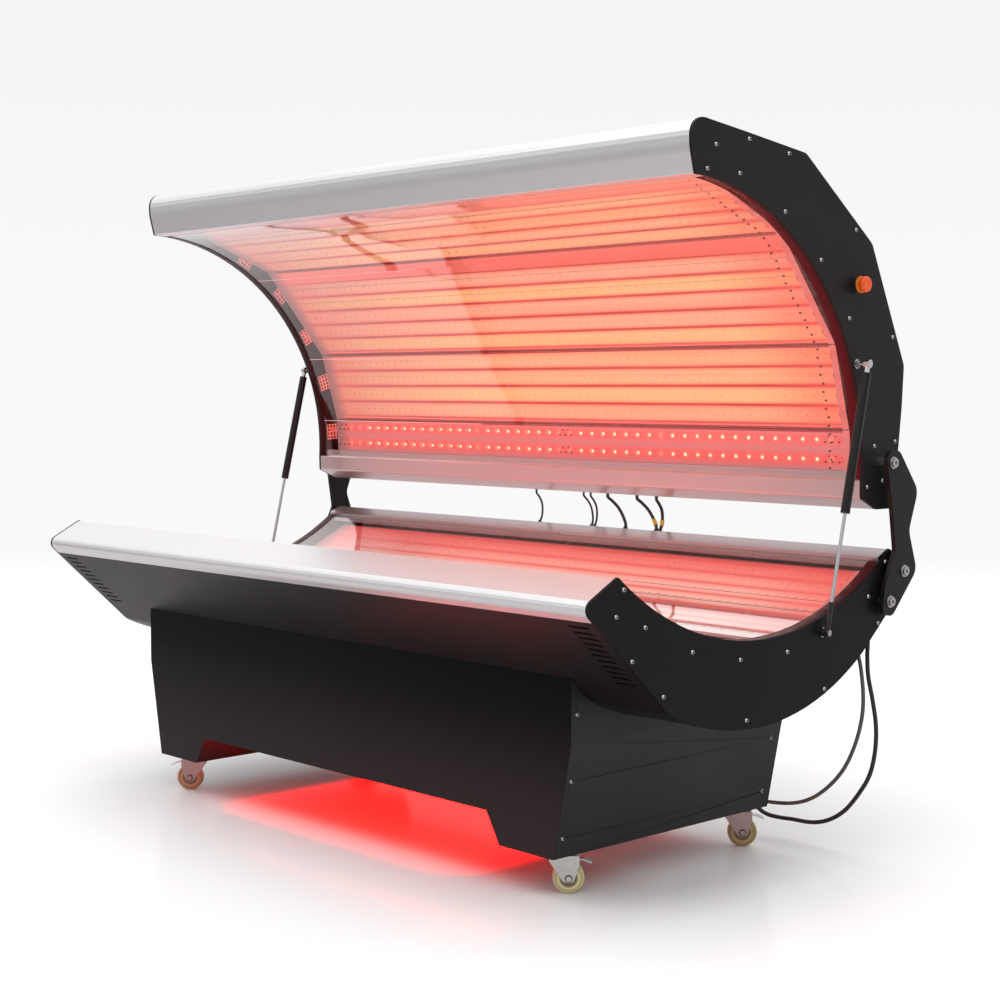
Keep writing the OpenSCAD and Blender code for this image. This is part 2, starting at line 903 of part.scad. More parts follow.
// Puts a piece drawn along Z on the strut's line, its start at the lower ball
module on_strut() {
    translate([strut_x, strut_foot[0], strut_foot[1]])
        rotate([-90 + strut_rise, 0, 0])
            children();
}

module strut_rod() {
    color("#2a2a2e")
        difference() {
            union() {
                rod_x(strut_foot, eye_r, strut_x - eye_half, strut_x + eye_half);
                on_strut()
                    cylinder(r = 6.5, h = fitting_len, $fn = 32);
            }
            rod_x(strut_foot, pin_r + fit, strut_x - 20, strut_x + 20);
        }
    color("gainsboro")
        on_strut()
            translate([0, 0, fitting_len]) {
                cylinder(r = rod_r, h = rod_end - fitting_len, $fn = 32);
                translate([0, 0, rod_end - fitting_len - 12])
                    cylinder(r = bore_r - 0.3, h = 12, $fn = 32);
            }
}

module strut_cylinder() {
    color("#1e1e22")
        on_strut()
            difference() {
                translate([0, 0, cylinder_start])
                    cylinder(r = cylinder_r, h = cylinder_len, $fn = 48);
                translate([0, 0, cylinder_start + 10])
                    cylinder(r = bore_r, h = cylinder_len - 22, $fn = 48);
                translate([0, 0, cylinder_start - 1])
                    cylinder(r = rod_r + fit, h = 20, $fn = 32);
            }
    color("gainsboro") {
        on_strut()
            translate([0, 0, cylinder_end - touch])
                cylinder(r = 6.5, h = strut_len - cylinder_end - 4, $fn = 32);
        rod_x(strut_head, eye_r, strut_x - eye_half, strut_x + eye_half);
    }
}

// Glands at the cables' ends
module gland(r, h) {
    cylinder(r = r + 2.5, h = 0.4 * h, $fn = 6);
    translate([0, 0, 0.4 * h - touch])
        cylinder(r1 = r + 1.5, r2 = r, h = 0.6 * h, $fn = 32);
}

// A gland whose tip is at p and whose outward direction is d
module gland_at(p, d, r, h) {
    translate(p - h * unit(d))
        rotate([0, acos(unit(d)[2]), atan2(d[1], d[0])])
            gland(r, h);
}

// Gland on the rear panel, its threaded shank through the panel
module panel_gland(g, r, h) {
    translate([g[0], plinth_rear, g[1]])
        rotate([-90, 0, 0]) {
            gland(r, h);
            translate([0, 0, -sheet_t])
                cylinder(r = gland_hole_r - fit, h = sheet_t + 1, $fn = 32);
        }
}

module cable_glands() {
    under = 40;
    color("#1c1c1e") {
        // Under the tub and on its rear slope, seated on the skin
        difference() {
            union() {
                for (g = [[grey_route, grey_d], [black_route, black_d]])
                    gland_at(g[0][0], g[0][1] - g[0][0], g[1] / 2 + 2, under);
                for (c = link_cables)
                    gland_at([c[0], link_route[0][0], link_route[0][1]], [0, 0.57, 0.82], c[2] / 2 + 2, 20);
            }
            tub_solid();
        }
        panel_gland(rear_glands[0], grey_d / 2 + 2, 22);
        panel_gland(rear_glands[1], black_d / 2 + 2, 22);
        // Mains gland with its through hole and lock nut
        difference() {
            union() {
                panel_gland(rear_glands[2], mains_r + 3, mains_len - sheet_t - 6);
                translate([rear_glands[2][0], plinth_rear - sheet_t, rear_glands[2][1]])
                    rotate([90, 0, 0])
                        cylinder(r = mains_r + 6, h = 6, $fn = 6);
            }
            translate([rear_glands[2][0], plinth_rear, rear_glands[2][1]])
                rotate([90, 0, 0])
                    cylinder(r = mains_r, h = 3 * mains_len, center = true, $fn = 48);
        }
    }
}

// Cables: a round tube swept through points
function curve(p, n) = [
    for (i = [0 : len(p) - 2], k = [0 : n - 1])
        let (
            a = p[max(i - 1, 0)], b = p[i], c = p[i + 1], d = p[min(i + 2, len(p) - 1)],
            t = k / n
        )
        ((2 * b) + (c - a) * t + (2 * a - 5 * b + 4 * c - d) * t * t
            + (3 * b - 3 * c + d - a) * t * t * t) / 2,
    p[len(p) - 1]
];

module swept(route, d, n, sides) {
    p = curve(route, n);
    last = len(p) - 1;
    frames = [
        for (i = [0 : last])
            let (
                t = unit(p[min(i + 1, last)] - p[max(i - 1, 0)]),
                u = unit(cross(t, abs(t[0]) > 0.9 ? [0, 1, 0] : [1, 0, 0]))
            )
            [u, cross(t, u)]
    ];
    points = [
        for (i = [0 : last], k = [0 : sides - 1])
            p[i] + d / 2 * (cos(360 * k / sides) * frames[i][0] + sin(360 * k / sides) * frames[i][1])
    ];
    faces = [
        [for (k = [sides - 1 : -1 : 0]) k],
        for (i = [0 : last - 1], k = [0 : sides - 1])
            [i * sides + k, i * sides + (k + 1) % sides,
             (i + 1) * sides + (k + 1) % sides, (i + 1) * sides + k],
        [for (k = [0 : sides - 1]) last * sides + k]
    ];
    polyhedron(points, faces, convexity = 10);
}

module cable_grey() {
    color("#5a5654")
        swept(grey_route, grey_d, 2, 8);
}

module cable_black() {
    color("#161618")
        swept(black_route, black_d, 2, 8);
}

// The cables shift along X on their way up, but end square to the canopy's glands
module canopy_cables() {
    last = len(link_route) - 1;
    low = link_route[0][1];
    rise = link_route[last - 1][1] - low;
    color("#161618")
        for (c = link_cables)
            swept([
                for (p = link_route)
                    [c[0] + (c[1] - c[0]) * min(1, (p[1] - low) / rise), p[0], p[1]]
            ], c[2], 1, 8);
}

// Canopy
canopy_inner_len = 2 * (canopy_half - plate_t);
canopy_lip_r = canopy_r + acrylic_t + gap;

module canopy_end_plate(stop) {
    color("#26262a")
        difference() {
            union() {
                along_x(plate_t, canopy_half - plate_t / 2)
                    canopy_wall_shape(0, canopy_r);
                along_x(rim_w + touch, canopy_half - plate_t - rim_w / 2)
                    round_sheet(canopy_c, canopy_r, rim_t, canopy_from, canopy_to - 0.3);
            }
            screw_holes(canopy_half, canopy_screws_at);
            rod_x(pivot, bolt_r + fit, canopy_half - plate_t - 1, canopy_half + 1);
            if (stop)
                rod_x(stop_at, 11 + fit, canopy_half - plate_t - 1, canopy_half + 1);
        }
}

canopy_last = canopy_strip_angles[len(canopy_strip_angles) - 1] + 0.1;
canopy_front_path = bent([
    canopy_seam, canopy_outline[2], canopy_outline[1], canopy_outline[0],
    ring(canopy_c, canopy_r, canopy_last + 0.2), ring(canopy_c, canopy_lip_r, canopy_last),
    ring(canopy_c, canopy_lip_r, canopy_last - 1.6)
]);
canopy_rear_path = bent([
    ring(canopy_c, canopy_lip_r, canopy_from + 1.6), ring(canopy_c, canopy_lip_r, canopy_from),
    canopy_inner_corner, canopy_outline[11], canopy_outline[10], canopy_rear_seam
]);

module canopy_front_profile() {
    color("silver")
        along_x(canopy_inner_len)
            sheet(canopy_front_path, profile_t);
}

module canopy_rear_profile() {
    color("silver")
        along_x(canopy_inner_len)
            sheet(canopy_rear_path, profile_t);
}

module canopy_back_skin() {
    path = bent(concat(
        [canopy_seam],
        [for (i = [3 : 9]) canopy_outline[i]],
        [canopy_rear_seam]
    ));
    color("#26262a")
        along_x(canopy_inner_len)
            sheet(path, -skin_t);
}

module canopy_acrylic() {
    color("#f6c8c0", 0.5)
        strips(canopy_c, canopy_r, canopy_strip_angles, canopy_inner_len - 2 * rim_w - 2 * gap);
}

module canopy_led_boards() {
    boards(canopy_c, canopy_r + board_depth, canopy_board_angles, canopy_rows, canopy_bare,
        2 * (canopy_half - board_half_gap));
}

// Square field of perforations, as flat holes
module vent_field() {
    pitch = vent_hole * 1.5;
    n = floor(vent_side / pitch);
    for (i = [0 : n - 1], j = [0 : n - 1])
        translate([(i - (n - 1) / 2) * pitch, (j - (n - 1) / 2) * pitch])
            square(vent_hole, center = true);
}

module canopy_rib_shape() {
    difference() {
        canopy_wall_shape(profile_t, canopy_lip_r);
        profile_slots([canopy_front_path, canopy_rear_path]);
    }
}

module canopy_ribs() {
    color("#77706e") {
        both_ends()
            difference() {
                end_wall(canopy_half, canopy_screws_at)
                    difference() {
                        canopy_rib_shape();
                        for (a = vent_angles)
                            translate(ring(canopy_c, canopy_r + 0.6 * vent_side, a))
                                rotate(a)
                                    vent_field();
                    }
                along_x(tub_len)
                    profile_slots([canopy_front_path, canopy_rear_path]);
            }
        for (i = [0 : rib_count - 1])
            along_x(rib_t, (i - (rib_count - 1) / 2) * rib_step)
                difference() {
                    canopy_rib_shape();
                    board_fan(canopy_c, canopy_r + board_depth + board_t + gap, canopy_board_angles);
                }
    }
}

module canopy_screws() {
    color("gainsboro")
        both_ends()
            plate_screws(canopy_half, canopy_screws_at);
}

module canopy_glands() {
    top = link_route[len(link_route) - 1];
    color("#1c1c1e")
        for (c = link_cables)
            translate([c[1], top[0], top[1] + gap])
                cylinder(r = c[2] / 2 + 2.5, h = 4.2, $fn = 32);
}

// Emergency stop
module estop_collar() {
    inner = canopy_half - plate_t;
    difference() {
        union() {
            color("#1c1c1e") {
                rod_x(stop_at, collar_r, canopy_half, canopy_half + collar_h);
                rod_x(stop_at, 11, inner - 1, canopy_half + 1);
                rod_x(stop_at, collar_r, inner - 16, inner);
            }
            color("goldenrod")
                rod_x(stop_at, cap_r + 1, canopy_half + collar_h - 3, canopy_half + collar_h);
        }
        rod_x(stop_at, stem_r + fit, inner - 12, canopy_half + collar_h + 1);
    }
}

module estop_cap() {
    face = canopy_half + collar_h + cap_travel + 1.5;
    color("orangered") {
        rod_x(stop_at, stem_r, canopy_half - 2, face + 1);
        rod_x(stop_at, cap_r, face, face + cap_h * 0.6);
        translate([face + cap_h * 0.6 - touch, stop_at[0], stop_at[1]])
            rotate([0, 90, 0])
                cylinder(r1 = cap_r, r2 = cap_r - 4, h = cap_h * 0.4, $fn = 48);
    }
}

// Casters, drawn with the kingpin at the origin, the wheel towards +X and Z = 0 at the axle
module at_caster(i) {
    translate([caster_at[i][0], caster_at[i][1], wheel_r])
        rotate([0, 0, caster_at[i][2]])
            children();
}

module caster_plates() {
    color("lightgray")
        for (i = [0 : 3])
            at_caster(i) {
                translate([-caster_plate / 2, -caster_plate / 2, caster_drop - 3])
                    cube([caster_plate, caster_plate, 3]);
                translate([0, 0, fork_top + gap])
                    cylinder(r = race_r, h = race_h + touch, $fn = 48);
                translate([0, 0, fork_top - 8])
                    cylinder(r = kingpin_r, h = 10, $fn = 32);
                translate([0, 0, fork_top - fork_t - gap - 4])
                    cylinder(r = kingpin_r + 3, h = 4, $fn = 32);
            }
}

module caster_fork(i) {
    side_shape = [
        [-18, fork_top, 0], [-18, fork_top - 12, 4], [trail - 12, -9, 8], [trail + 12, -9, 8],
        [brake_at[0] + 9, brake_at[1] - 8, 6], [brake_at[0] + 9, fork_top, 0]
    ];
    color("lightgray")
        at_caster(i) {
            difference() {
                union() {
                    translate([0, 0, fork_top - fork_t])
                        cylinder(r = race_r + 2, h = fork_t, $fn = 48);
                    translate([-18, -fork_gap - fork_t, fork_top - fork_t])
                        cube([brake_at[0] - 18 + 8, 2 * (fork_gap + fork_t), fork_t]);
                }
                translate([0, 0, fork_top - 10])
                    cylinder(r = kingpin_r + fit, h = 20, $fn = 32);
            }
            for (s = [-1, 1])
                translate([0, s * (fork_gap + fork_t / 2) + fork_t / 2, 0])
                    rotate([90, 0, 0])
                        linear_extrude(fork_t)
                            polygon(rounded(side_shape, 5));
            // Axle bolt with its head and nut
            translate([trail, -fork_gap - fork_t - 6, 0])
                rotate([-90, 0, 0])
                    cylinder(r = axle_r, h = 2 * (fork_gap + fork_t) + 12, $fn = 32);
            for (s = [-1, 1])
                translate([trail, s * (fork_gap + fork_t + 2.5), 0])
                    rotate([90, 0, 0])
                        cylinder(r = 7, h = 5, center = true, $fn = 6);
            // Pin of the brake pedal
            translate([brake_at[0], -fork_gap - fork_t, brake_at[1]])
                rotate([-90, 0, 0])
                    cylinder(r = 2.5, h = 2 * (fork_gap + fork_t), $fn = 24);
        }
}

module caster_wheel(i) {
    at_caster(i)
        translate([trail, 0, 0])
            rotate([90, 0, 0])
                difference() {
                    union() {
                        color("#9a9078")
                            cylinder(r = wheel_r - 10, h = wheel_w, center = true, $fn = 64);
                        color("#c9c48a")
                            rotate_extrude($fn = 96)
                                polygon([
                                    [wheel_r - 12, -wheel_w / 2], [wheel_r - 3, -wheel_w / 2],
                                    [wheel_r, -wheel_w / 2 + 4], [wheel_r, wheel_w / 2 - 4],
                                    [wheel_r - 3, wheel_w / 2], [wheel_r - 12, wheel_w / 2]
                                ]);
                        cylinder(r = 9, h = wheel_w + 3, center = true, $fn = 32);
                    }
                    cylinder(r = axle_r + fit, h = wheel_w + 10, center = true, $fn = 32);
                }
}

module brake_pedal(i) {
    half = fork_gap - 1.2;
    tip = [brake_at[0] + 38, brake_at[1] - 8];
    color("silver")
        at_caster(i)
            difference() {
                union() {
                    translate([brake_at[0], half, brake_at[1]])
                        rotate([90, 0, 0])
                            cylinder(r = 5, h = 2 * half, $fn = 32);
                    translate([0, half, 0])
                        rotate([90, 0, 0])
                            linear_extrude(2 * half)
                                sheet(bent([
                                    [brake_at[0] + 2, brake_at[1] + 2.4],
                                    [brake_at[0] + 20, brake_at[1], 10], tip
                                ]), 2.5);
                }
                translate([brake_at[0], half + 1, brake_at[1]])
                    rotate([90, 0, 0])
                        cylinder(r = 2.5 + fit, h = 2 * half + 2, $fn = 24);
            }
}

on_casters() plinth_front_panel();
on_casters() plinth_end_panel();  // plinth_end_panel_right
on_casters() left_end() plinth_end_panel();  // plinth_end_panel_left
on_casters() plinth_rear_panel();
on_casters() plinth_floor_pan();
on_casters() plinth_frame();
on_casters() underglow_strip();
on_casters() tub_end_plate();  // tub_end_plate_right
on_casters() left_end() tub_end_plate();  // tub_end_plate_left
on_casters() tub_front_profile();
on_casters() tub_rear_profile();
on_casters() tub_lower_skin();
on_casters() tub_acrylic();
on_casters() tub_led_boards();
on_casters() tub_ribs();
on_casters() base_screws();
on_casters() hinge_arm();  // hinge_arm_right
on_casters() left_end() hinge_arm();  // hinge_arm_left
on_casters() arm_bolts();
on_casters() power_supplies();
on_casters() fan_housings();
on_casters() control_box();
on_casters() strut_lower_studs();
on_casters() cable_glands();
caster_plates();
on_casters() cable_grey();
on_casters() cable_black();
on_casters() canopy_cables();
on_casters() canopy_end_plate(true);  // canopy_end_plate_right
on_casters() left_end() canopy_end_plate(false);  // canopy_end_plate_left
on_casters() canopy_front_profile();
on_casters() canopy_rear_profile();
on_casters() canopy_back_skin();
on_casters() canopy_acrylic();
on_casters() canopy_led_boards();
on_casters() canopy_ribs();
on_casters() canopy_screws();
on_casters() strut_upper_studs();
on_casters() estop_collar();
on_casters() canopy_glands();
on_casters() estop_cap();
on_casters() fan_impeller(1);  // fan_impeller_right
on_casters() fan_impeller(-1);  // fan_impeller_left
on_casters() strut_rod();  // strut_rod_right
on_casters() left_end() strut_rod();  // strut_rod_left
on_casters() strut_cylinder();  // strut_cylinder_right
on_casters() left_end() strut_cylinder();  // strut_cylinder_left
caster_fork(0);  // caster_fork_front_right
caster_fork(1);  // caster_fork_front_left
caster_fork(2);  // caster_fork_rear_right
caster_fork(3);  // caster_fork_rear_left
caster_wheel(0);  // caster_wheel_front_right
caster_wheel(1);  // caster_wheel_front_left
caster_wheel(2);  // caster_wheel_rear_right
caster_wheel(3);  // caster_wheel_rear_left
brake_pedal(0);  // brake_pedal_front_right
brake_pedal(1);  // brake_pedal_front_left
brake_pedal(2);  // brake_pedal_rear_right
brake_pedal(3);  // brake_pedal_rear_left
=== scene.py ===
import json
import math

import bpy
from mathutils import Matrix, Vector


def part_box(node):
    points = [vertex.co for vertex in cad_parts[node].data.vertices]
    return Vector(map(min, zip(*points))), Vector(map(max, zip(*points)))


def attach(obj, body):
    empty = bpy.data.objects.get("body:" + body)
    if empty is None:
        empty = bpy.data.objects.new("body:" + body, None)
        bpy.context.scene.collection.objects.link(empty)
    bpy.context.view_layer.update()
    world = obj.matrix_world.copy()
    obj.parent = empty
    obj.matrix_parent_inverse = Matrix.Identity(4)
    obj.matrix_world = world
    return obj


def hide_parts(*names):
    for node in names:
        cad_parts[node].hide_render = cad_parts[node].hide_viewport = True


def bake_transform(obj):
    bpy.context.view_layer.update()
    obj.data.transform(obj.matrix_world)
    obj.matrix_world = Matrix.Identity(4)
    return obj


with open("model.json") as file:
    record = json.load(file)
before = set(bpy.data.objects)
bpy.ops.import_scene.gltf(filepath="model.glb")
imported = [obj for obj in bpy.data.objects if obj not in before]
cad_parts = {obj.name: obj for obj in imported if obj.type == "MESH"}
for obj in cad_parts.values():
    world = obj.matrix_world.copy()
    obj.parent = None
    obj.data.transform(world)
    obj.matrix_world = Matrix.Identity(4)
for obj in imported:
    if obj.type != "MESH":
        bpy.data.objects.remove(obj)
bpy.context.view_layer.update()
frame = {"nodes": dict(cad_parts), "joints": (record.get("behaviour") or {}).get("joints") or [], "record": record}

# Real sizes in metres, as in the CAD source. A point of the section is (y, z), with z above the floor, and
# RIDE is the height of the plinth's bottom edge.
RIDE = 0.106
TUB_HALF = 1.100
CANOPY_HALF = 1.081
PLATE_T = 0.008
WHEEL_R = 0.0375
STRUT_FOOT = (0.2235, 0.4955 + RIDE)
STRUT_RISE = math.acos(0.2294)
STRUT_SOCKET_END, STRUT_CYLINDER_END = 0.0735, 0.631
STOP_AT = (0.370, 1.322 + RIDE)
STOP_FACE = 1.096

# The two lit shells. Their flat boards have corners at the angles, on the radius "boards"; each board has
# its number of LED rows, and bare strips before and after them. "half" is half the boards' length.
TROUGH = {
    "centre": (0.005, 1.269 + RIDE), "boards": 0.803, "half": 1.039,
    "angles": (234, 251, 270, 289, 306), "rows": (4, 5, 5, 4), "bare": ((0.020, 0.020),) * 4,
}
HOLLOW = {
    "centre": (-0.248, 0.882 + RIDE), "boards": 0.688, "half": 1.020,
    "angles": (-1.5, 7.4, 25.7, 54, 83), "rows": (2, 4, 5, 4),
    "bare": ((0.007, 0), (0.012, 0.003), (0.012, 0.051), (0.002, 0.094)),
}
HOLLOW_FACE = 0.655
ROW_END = 0.020
ROW_H = 0.0015
FIRST_LAMP, LAMP_PITCH = 0.923, 0.04345


def link(thing):
    bpy.context.collection.objects.link(thing)


# Camera: at the photograph's viewing angle, for a square frame
EYE = (3.610, -3.198, 1.168)
YAW, PITCH, ROLL = math.radians(46.63), math.radians(3.49), math.radians(0.16)
FOCAL_MM, SENSOR_MM = 63.76, 36


def make_camera():
    ahead = Vector((-math.sin(YAW) * math.cos(PITCH), math.cos(YAW) * math.cos(PITCH), -math.sin(PITCH)))
    right = Vector((math.cos(YAW), math.sin(YAW), 0))
    up = right.cross(ahead)
    right, up = (
        math.cos(ROLL) * right + math.sin(ROLL) * up,
        math.cos(ROLL) * up - math.sin(ROLL) * right,
    )
    data = bpy.data.cameras.new("camera")
    data.lens = FOCAL_MM
    data.sensor_width = SENSOR_MM
    data.sensor_fit = "HORIZONTAL"
    data.clip_end = 100
    camera = bpy.data.objects.new("camera", data)
    turn = Matrix((right, up, -ahead)).transposed()
    camera.matrix_world = Matrix.Translation(EYE) @ turn.to_4x4()
    link(camera)
    bpy.context.scene.camera = camera


make_camera()


# Mesh helpers
class Heap:
    """Points and faces of one mesh, gathered from many small forms."""

    def __init__(self):
        self.points, self.faces = [], []

    def add(self, points, faces):
        base = len(self.points)
        self.points.extend(points)
        self.faces.extend([tuple(base + i for i in f) for f in faces])


def ring_faces(rings, sides):
    """Faces between rings of points that follow each other."""
    faces = []
    for i in range(rings - 1):
        for k in range(sides):
            n = (k + 1) % sides
            faces.append((i * sides + k, i * sides + n, (i + 1) * sides + n, (i + 1) * sides + k))
    return faces


def closed_faces(rings, sides):
    """The same, with a face across each end."""
    start = (rings - 1) * sides
    return ring_faces(rings, sides) + [tuple(range(sides))[::-1], tuple(range(start, start + sides))]


def catmull(points, steps):
    """A smooth curve through the points."""
    p = [Vector(q) for q in points]
    out = []
    for i in range(len(p) - 1):
        a, b, c, d = p[max(i - 1, 0)], p[i], p[i + 1], p[min(i + 2, len(p) - 1)]
        for k in range(steps):
            t = k / steps
            out.append(
                (2 * b + (c - a) * t + (2 * a - 5 * b + 4 * c - d) * t * t
                 + (3 * b - 3 * c + d - a) * t ** 3) / 2
            )
    out.append(p[-1])
    return out


def tube(path, radius, sides):
    """Points and faces of a closed round tube along a path, with a frame that doesn't twist."""
    points = []
    last = len(path) - 1
    side = (path[1] - path[0]).normalized().orthogonal().normalized()
    for i, p in enumerate(path):
        ahead = (path[min(i + 1, last)] - path[max(i - 1, 0)]).normalized()
        side = (side - side.dot(ahead) * ahead).normalized()
        other = ahead.cross(side)
        for k in range(sides):
            a = 2 * math.pi * k / sides
            points.append(p + radius * (math.cos(a) * side + math.sin(a) * other))
    return points, closed_faces(len(path), sides)


def lathe(profile, sides, place):
    """Turns a profile of (radius, height) round an axis; place puts (across, across, along) in the frame."""
    turns = [2 * math.pi * k / sides for k in range(sides)]
    points = [place(r * math.cos(a), r * math.sin(a), h) for r, h in profile for a in turns]
    return points, closed_faces(len(profile), sides)


def length_of(path):
    return sum((b - a).length for a, b in zip(path, path[1:]))


def at_plinth(points):
    """Route points in millimetres above the plinth's bottom edge, as points in the frame."""
    return [Vector((x / 1000, y / 1000, z / 1000 + RIDE)) for x, y, z in points]


def ring(centre, radius, degrees):
    """A point of the section, at an angle round a centre."""
    a = math.radians(degrees)
    return Vector((centre[0] + radius * math.cos(a), centre[1] + radius * math.sin(a)))


def facets(shell):
    """Each flat board of a shell: start corner, direction, width, rows, row pitch, first row's edge."""
    found = []
    for a, b, rows, bare in zip(shell["angles"], shell["angles"][1:], shell["rows"], shell["bare"]):
        p, q = ring(shell["centre"], shell["boards"], a), ring(shell["centre"], shell["boards"], b)
        width = (q - p).length
        found.append((p, (q - p).normalized(), width, rows, (width - sum(bare)) / rows, bare[0]))
    return found


# Shader helpers
class Shader:
    """A material with one Principled shader and short ways to add nodes."""

    def __init__(self, name):
        self.material = bpy.data.materials.new(name)
        self.material.use_nodes = True
        self.tree = self.material.node_tree
        self.main = next(n for n in self.tree.nodes if n.type == "BSDF_PRINCIPLED")
        self.out = next(n for n in self.tree.nodes if n.type == "OUTPUT_MATERIAL")
        self.place, self.xyz, self.base = None, None, None

    def node(self, kind, **settings):
        n = self.tree.nodes.new(kind)
        for key, value in settings.items():
            setattr(n, key, value)
        return n

    def join(self, source, target):
        self.tree.links.new(source, target)

    def set(self, **values):
        for key, value in values.items():
            self.main.inputs[key.replace("_", " ")].default_value = value

    def feed(self, socket, value):
        if isinstance(value, (int, float)):
            socket.default_value = value
        elif isinstance(value, tuple):
            socket.default_value = value if len(value) == 4 else (*value, 1)
        else:
            self.join(value, socket)

    def math(self, operation, a, b=0.0, c=0.0, clamp=False):
        n = self.node("ShaderNodeMath", operation=operation, use_clamp=clamp)
        for socket, value in zip(n.inputs, (a, b, c)):
            self.feed(socket, value)
        return n.outputs[0]

    def plus(self, a, b):
        return self.math("ADD", a, b)

    def minus(self, a, b):
        return self.math("SUBTRACT", a, b)

    def times(self, a, b):
        return self.math("MULTIPLY", a, b)

    def over(self, a, b):
        return self.math("GREATER_THAN", a, b)

    def under(self, a, b):
        return self.math("LESS_THAN", a, b)

    def abs(self, a):
        return self.math("ABSOLUTE", a)

    def squares(self, *parts):
        total = self.math("POWER", parts[0], 2.0)
        for part in parts[1:]:
            total = self.plus(total, self.math("POWER", part, 2.0))
        return total

    def length(self, *parts):
        return self.math("SQRT", self.squares(*parts))

    def span(self, value, low, high):
        """Linear map of a 0 to 1 value onto low to high."""
        return self.math("MULTIPLY_ADD", value, high - low, low)

    def between(self, value, low, high):
        """0 at low, 1 at high, smooth between."""
        n = self.node("ShaderNodeMapRange", interpolation_type="SMOOTHSTEP")
        self.feed(n.inputs["Value"], value)
        n.inputs["From Min"].default_value = low
        n.inputs["From Max"].default_value = high
        return n.outputs[0]

    def coords(self):
        if self.place is None:
            self.place = self.node("ShaderNodeTexCoord").outputs["Object"]
        return self.place

    def axes(self):
        if self.xyz is None:
            n = self.node("ShaderNodeSeparateXYZ")
            self.join(self.coords(), n.inputs[0])
            self.xyz = tuple(n.outputs)
        return self.xyz

    def offsets(self, centre):
        """How far the point's y and z are from a centre in the section."""
        return self.minus(self.axes()[1], centre[0]), self.minus(self.axes()[2], centre[1])

    def along(self, start, direction):
        """The point's distance from a start in the section, along a direction."""
        dy, dz = self.offsets(start)
        return self.plus(self.times(dy, direction[0]), self.times(dz, direction[1]))

    def past_ray(self, dy, dz, degrees):
        """Distance past a ray that leaves the centre of the offsets at an angle."""
        a = math.radians(degrees)
        return self.minus(self.times(dz, math.cos(a)), self.times(dy, math.sin(a)))

    def noise(self, scale, detail=3, rough=0.5, stretch=None):
        n = self.node("ShaderNodeTexNoise")
        n.inputs["Scale"].default_value = scale
        n.inputs["Detail"].default_value = detail
        n.inputs["Roughness"].default_value = rough
        source = self.coords()
        if stretch:
            mapping = self.node("ShaderNodeMapping")
            mapping.inputs["Scale"].default_value = stretch
            self.join(source, mapping.inputs["Vector"])
            source = mapping.outputs[0]
        self.join(source, n.inputs["Vector"])
        return n.outputs["Fac"]

    def ramp(self, factor, stops):
        n = self.node("ShaderNodeValToRGB")
        while len(n.color_ramp.elements) < len(stops):
            n.color_ramp.elements.new(0.5)
        for element, (at, colour) in zip(n.color_ramp.elements, stops):
            element.position = at
            element.color = (*colour, 1)
        self.join(factor, n.inputs[0])
        return n.outputs[0]

    def mix(self, factor, a, b):
        n = self.node("ShaderNodeMix", data_type="RGBA")
        sockets = [s for s in n.inputs if s.enabled]
        self.feed(sockets[0], factor)
        self.feed(sockets[1], a)
        self.feed(sockets[2], b)
        return next(s for s in n.outputs if s.enabled)

    def slow_shade(self, dark, light):
        return self.ramp(self.noise(2.3, 4), [(0.3, dark), (0.75, light)])

    def bump(self, height, strength, distance):
        n = self.node("ShaderNodeBump")
        n.inputs["Strength"].default_value = strength
        n.inputs["Distance"].default_value = distance
        self.join(height, n.inputs["Height"])
        self.join(n.outputs[0], self.main.inputs["Normal"])

    def peel(self, grain=900, strength=0.08):
        """The fine orange peel of powder coat."""
        self.bump(self.noise(grain, 2), strength, 0.0004)

    def colour(self, value):
        self.base = value
        self.feed(self.main.inputs["Base Color"], value)

    def rough(self, value):
        self.feed(self.main.inputs["Roughness"], value)

    def glow(self, value, strength):
        self.join(value, self.main.inputs["Emission Color"])
        self.set(Emission_Strength=strength)


def scaled(share, colour):
    return tuple(share * c for c in colour)


# Plain finishes
BLACK = ((0.0062, 0.0052, 0.0056), (0.0092, 0.0078, 0.0084))
SILVER = ((0.70, 0.695, 0.71), (0.76, 0.755, 0.77))


def coated(name, rough, grain=900, strength=0.08):
    """Powder coat or plastic without its colour: orange peel, slow changes of gloss."""
    s = Shader(name)
    s.rough(s.span(s.noise(7, 5, 0.6), rough - 0.05, rough + 0.07))
    s.peel(grain, strength)
    return s


def painted(name, dark, light, rough, grain=900, strength=0.08):
    """The same in a colour that slowly changes its shade."""
    s = coated(name, rough, grain, strength)
    s.colour(s.slow_shade(dark, light))
    return s


def metal(name, colour, rough, scale, metallic=1.0):
    """Bare or plated metal with a fine grain."""
    s = Shader(name)
    grain = s.noise(scale, 3, 0.6)
    s.colour(s.ramp(grain, [(0.25, scaled(0.86, colour)), (0.7, colour)]))
    s.set(Metallic=metallic)
    s.rough(s.span(s.noise(9, 4), rough - 0.04, rough + 0.06))
    s.bump(grain, 0.05, 0.0003)
    return s


def satin_silver(name, share=1.0):
    """Anodised aluminium profile: very fine lines along x, slow soft changes of gloss. A share below 1 darkens the
    whole profile as painted shade.
    """
    s = Shader(name)
    lines = s.noise(9, 4, 0.7, (0.3, 160, 160))
    s.colour(s.ramp(lines, [(0.3, scaled(share, SILVER[0])), (0.7, scaled(share, SILVER[1]))]))
    s.set(Metallic=0.74)
    s.rough(s.span(s.noise(1.7, 3), 0.23, 0.29))
    s.bump(lines, 0.012, 0.0002)
    return s


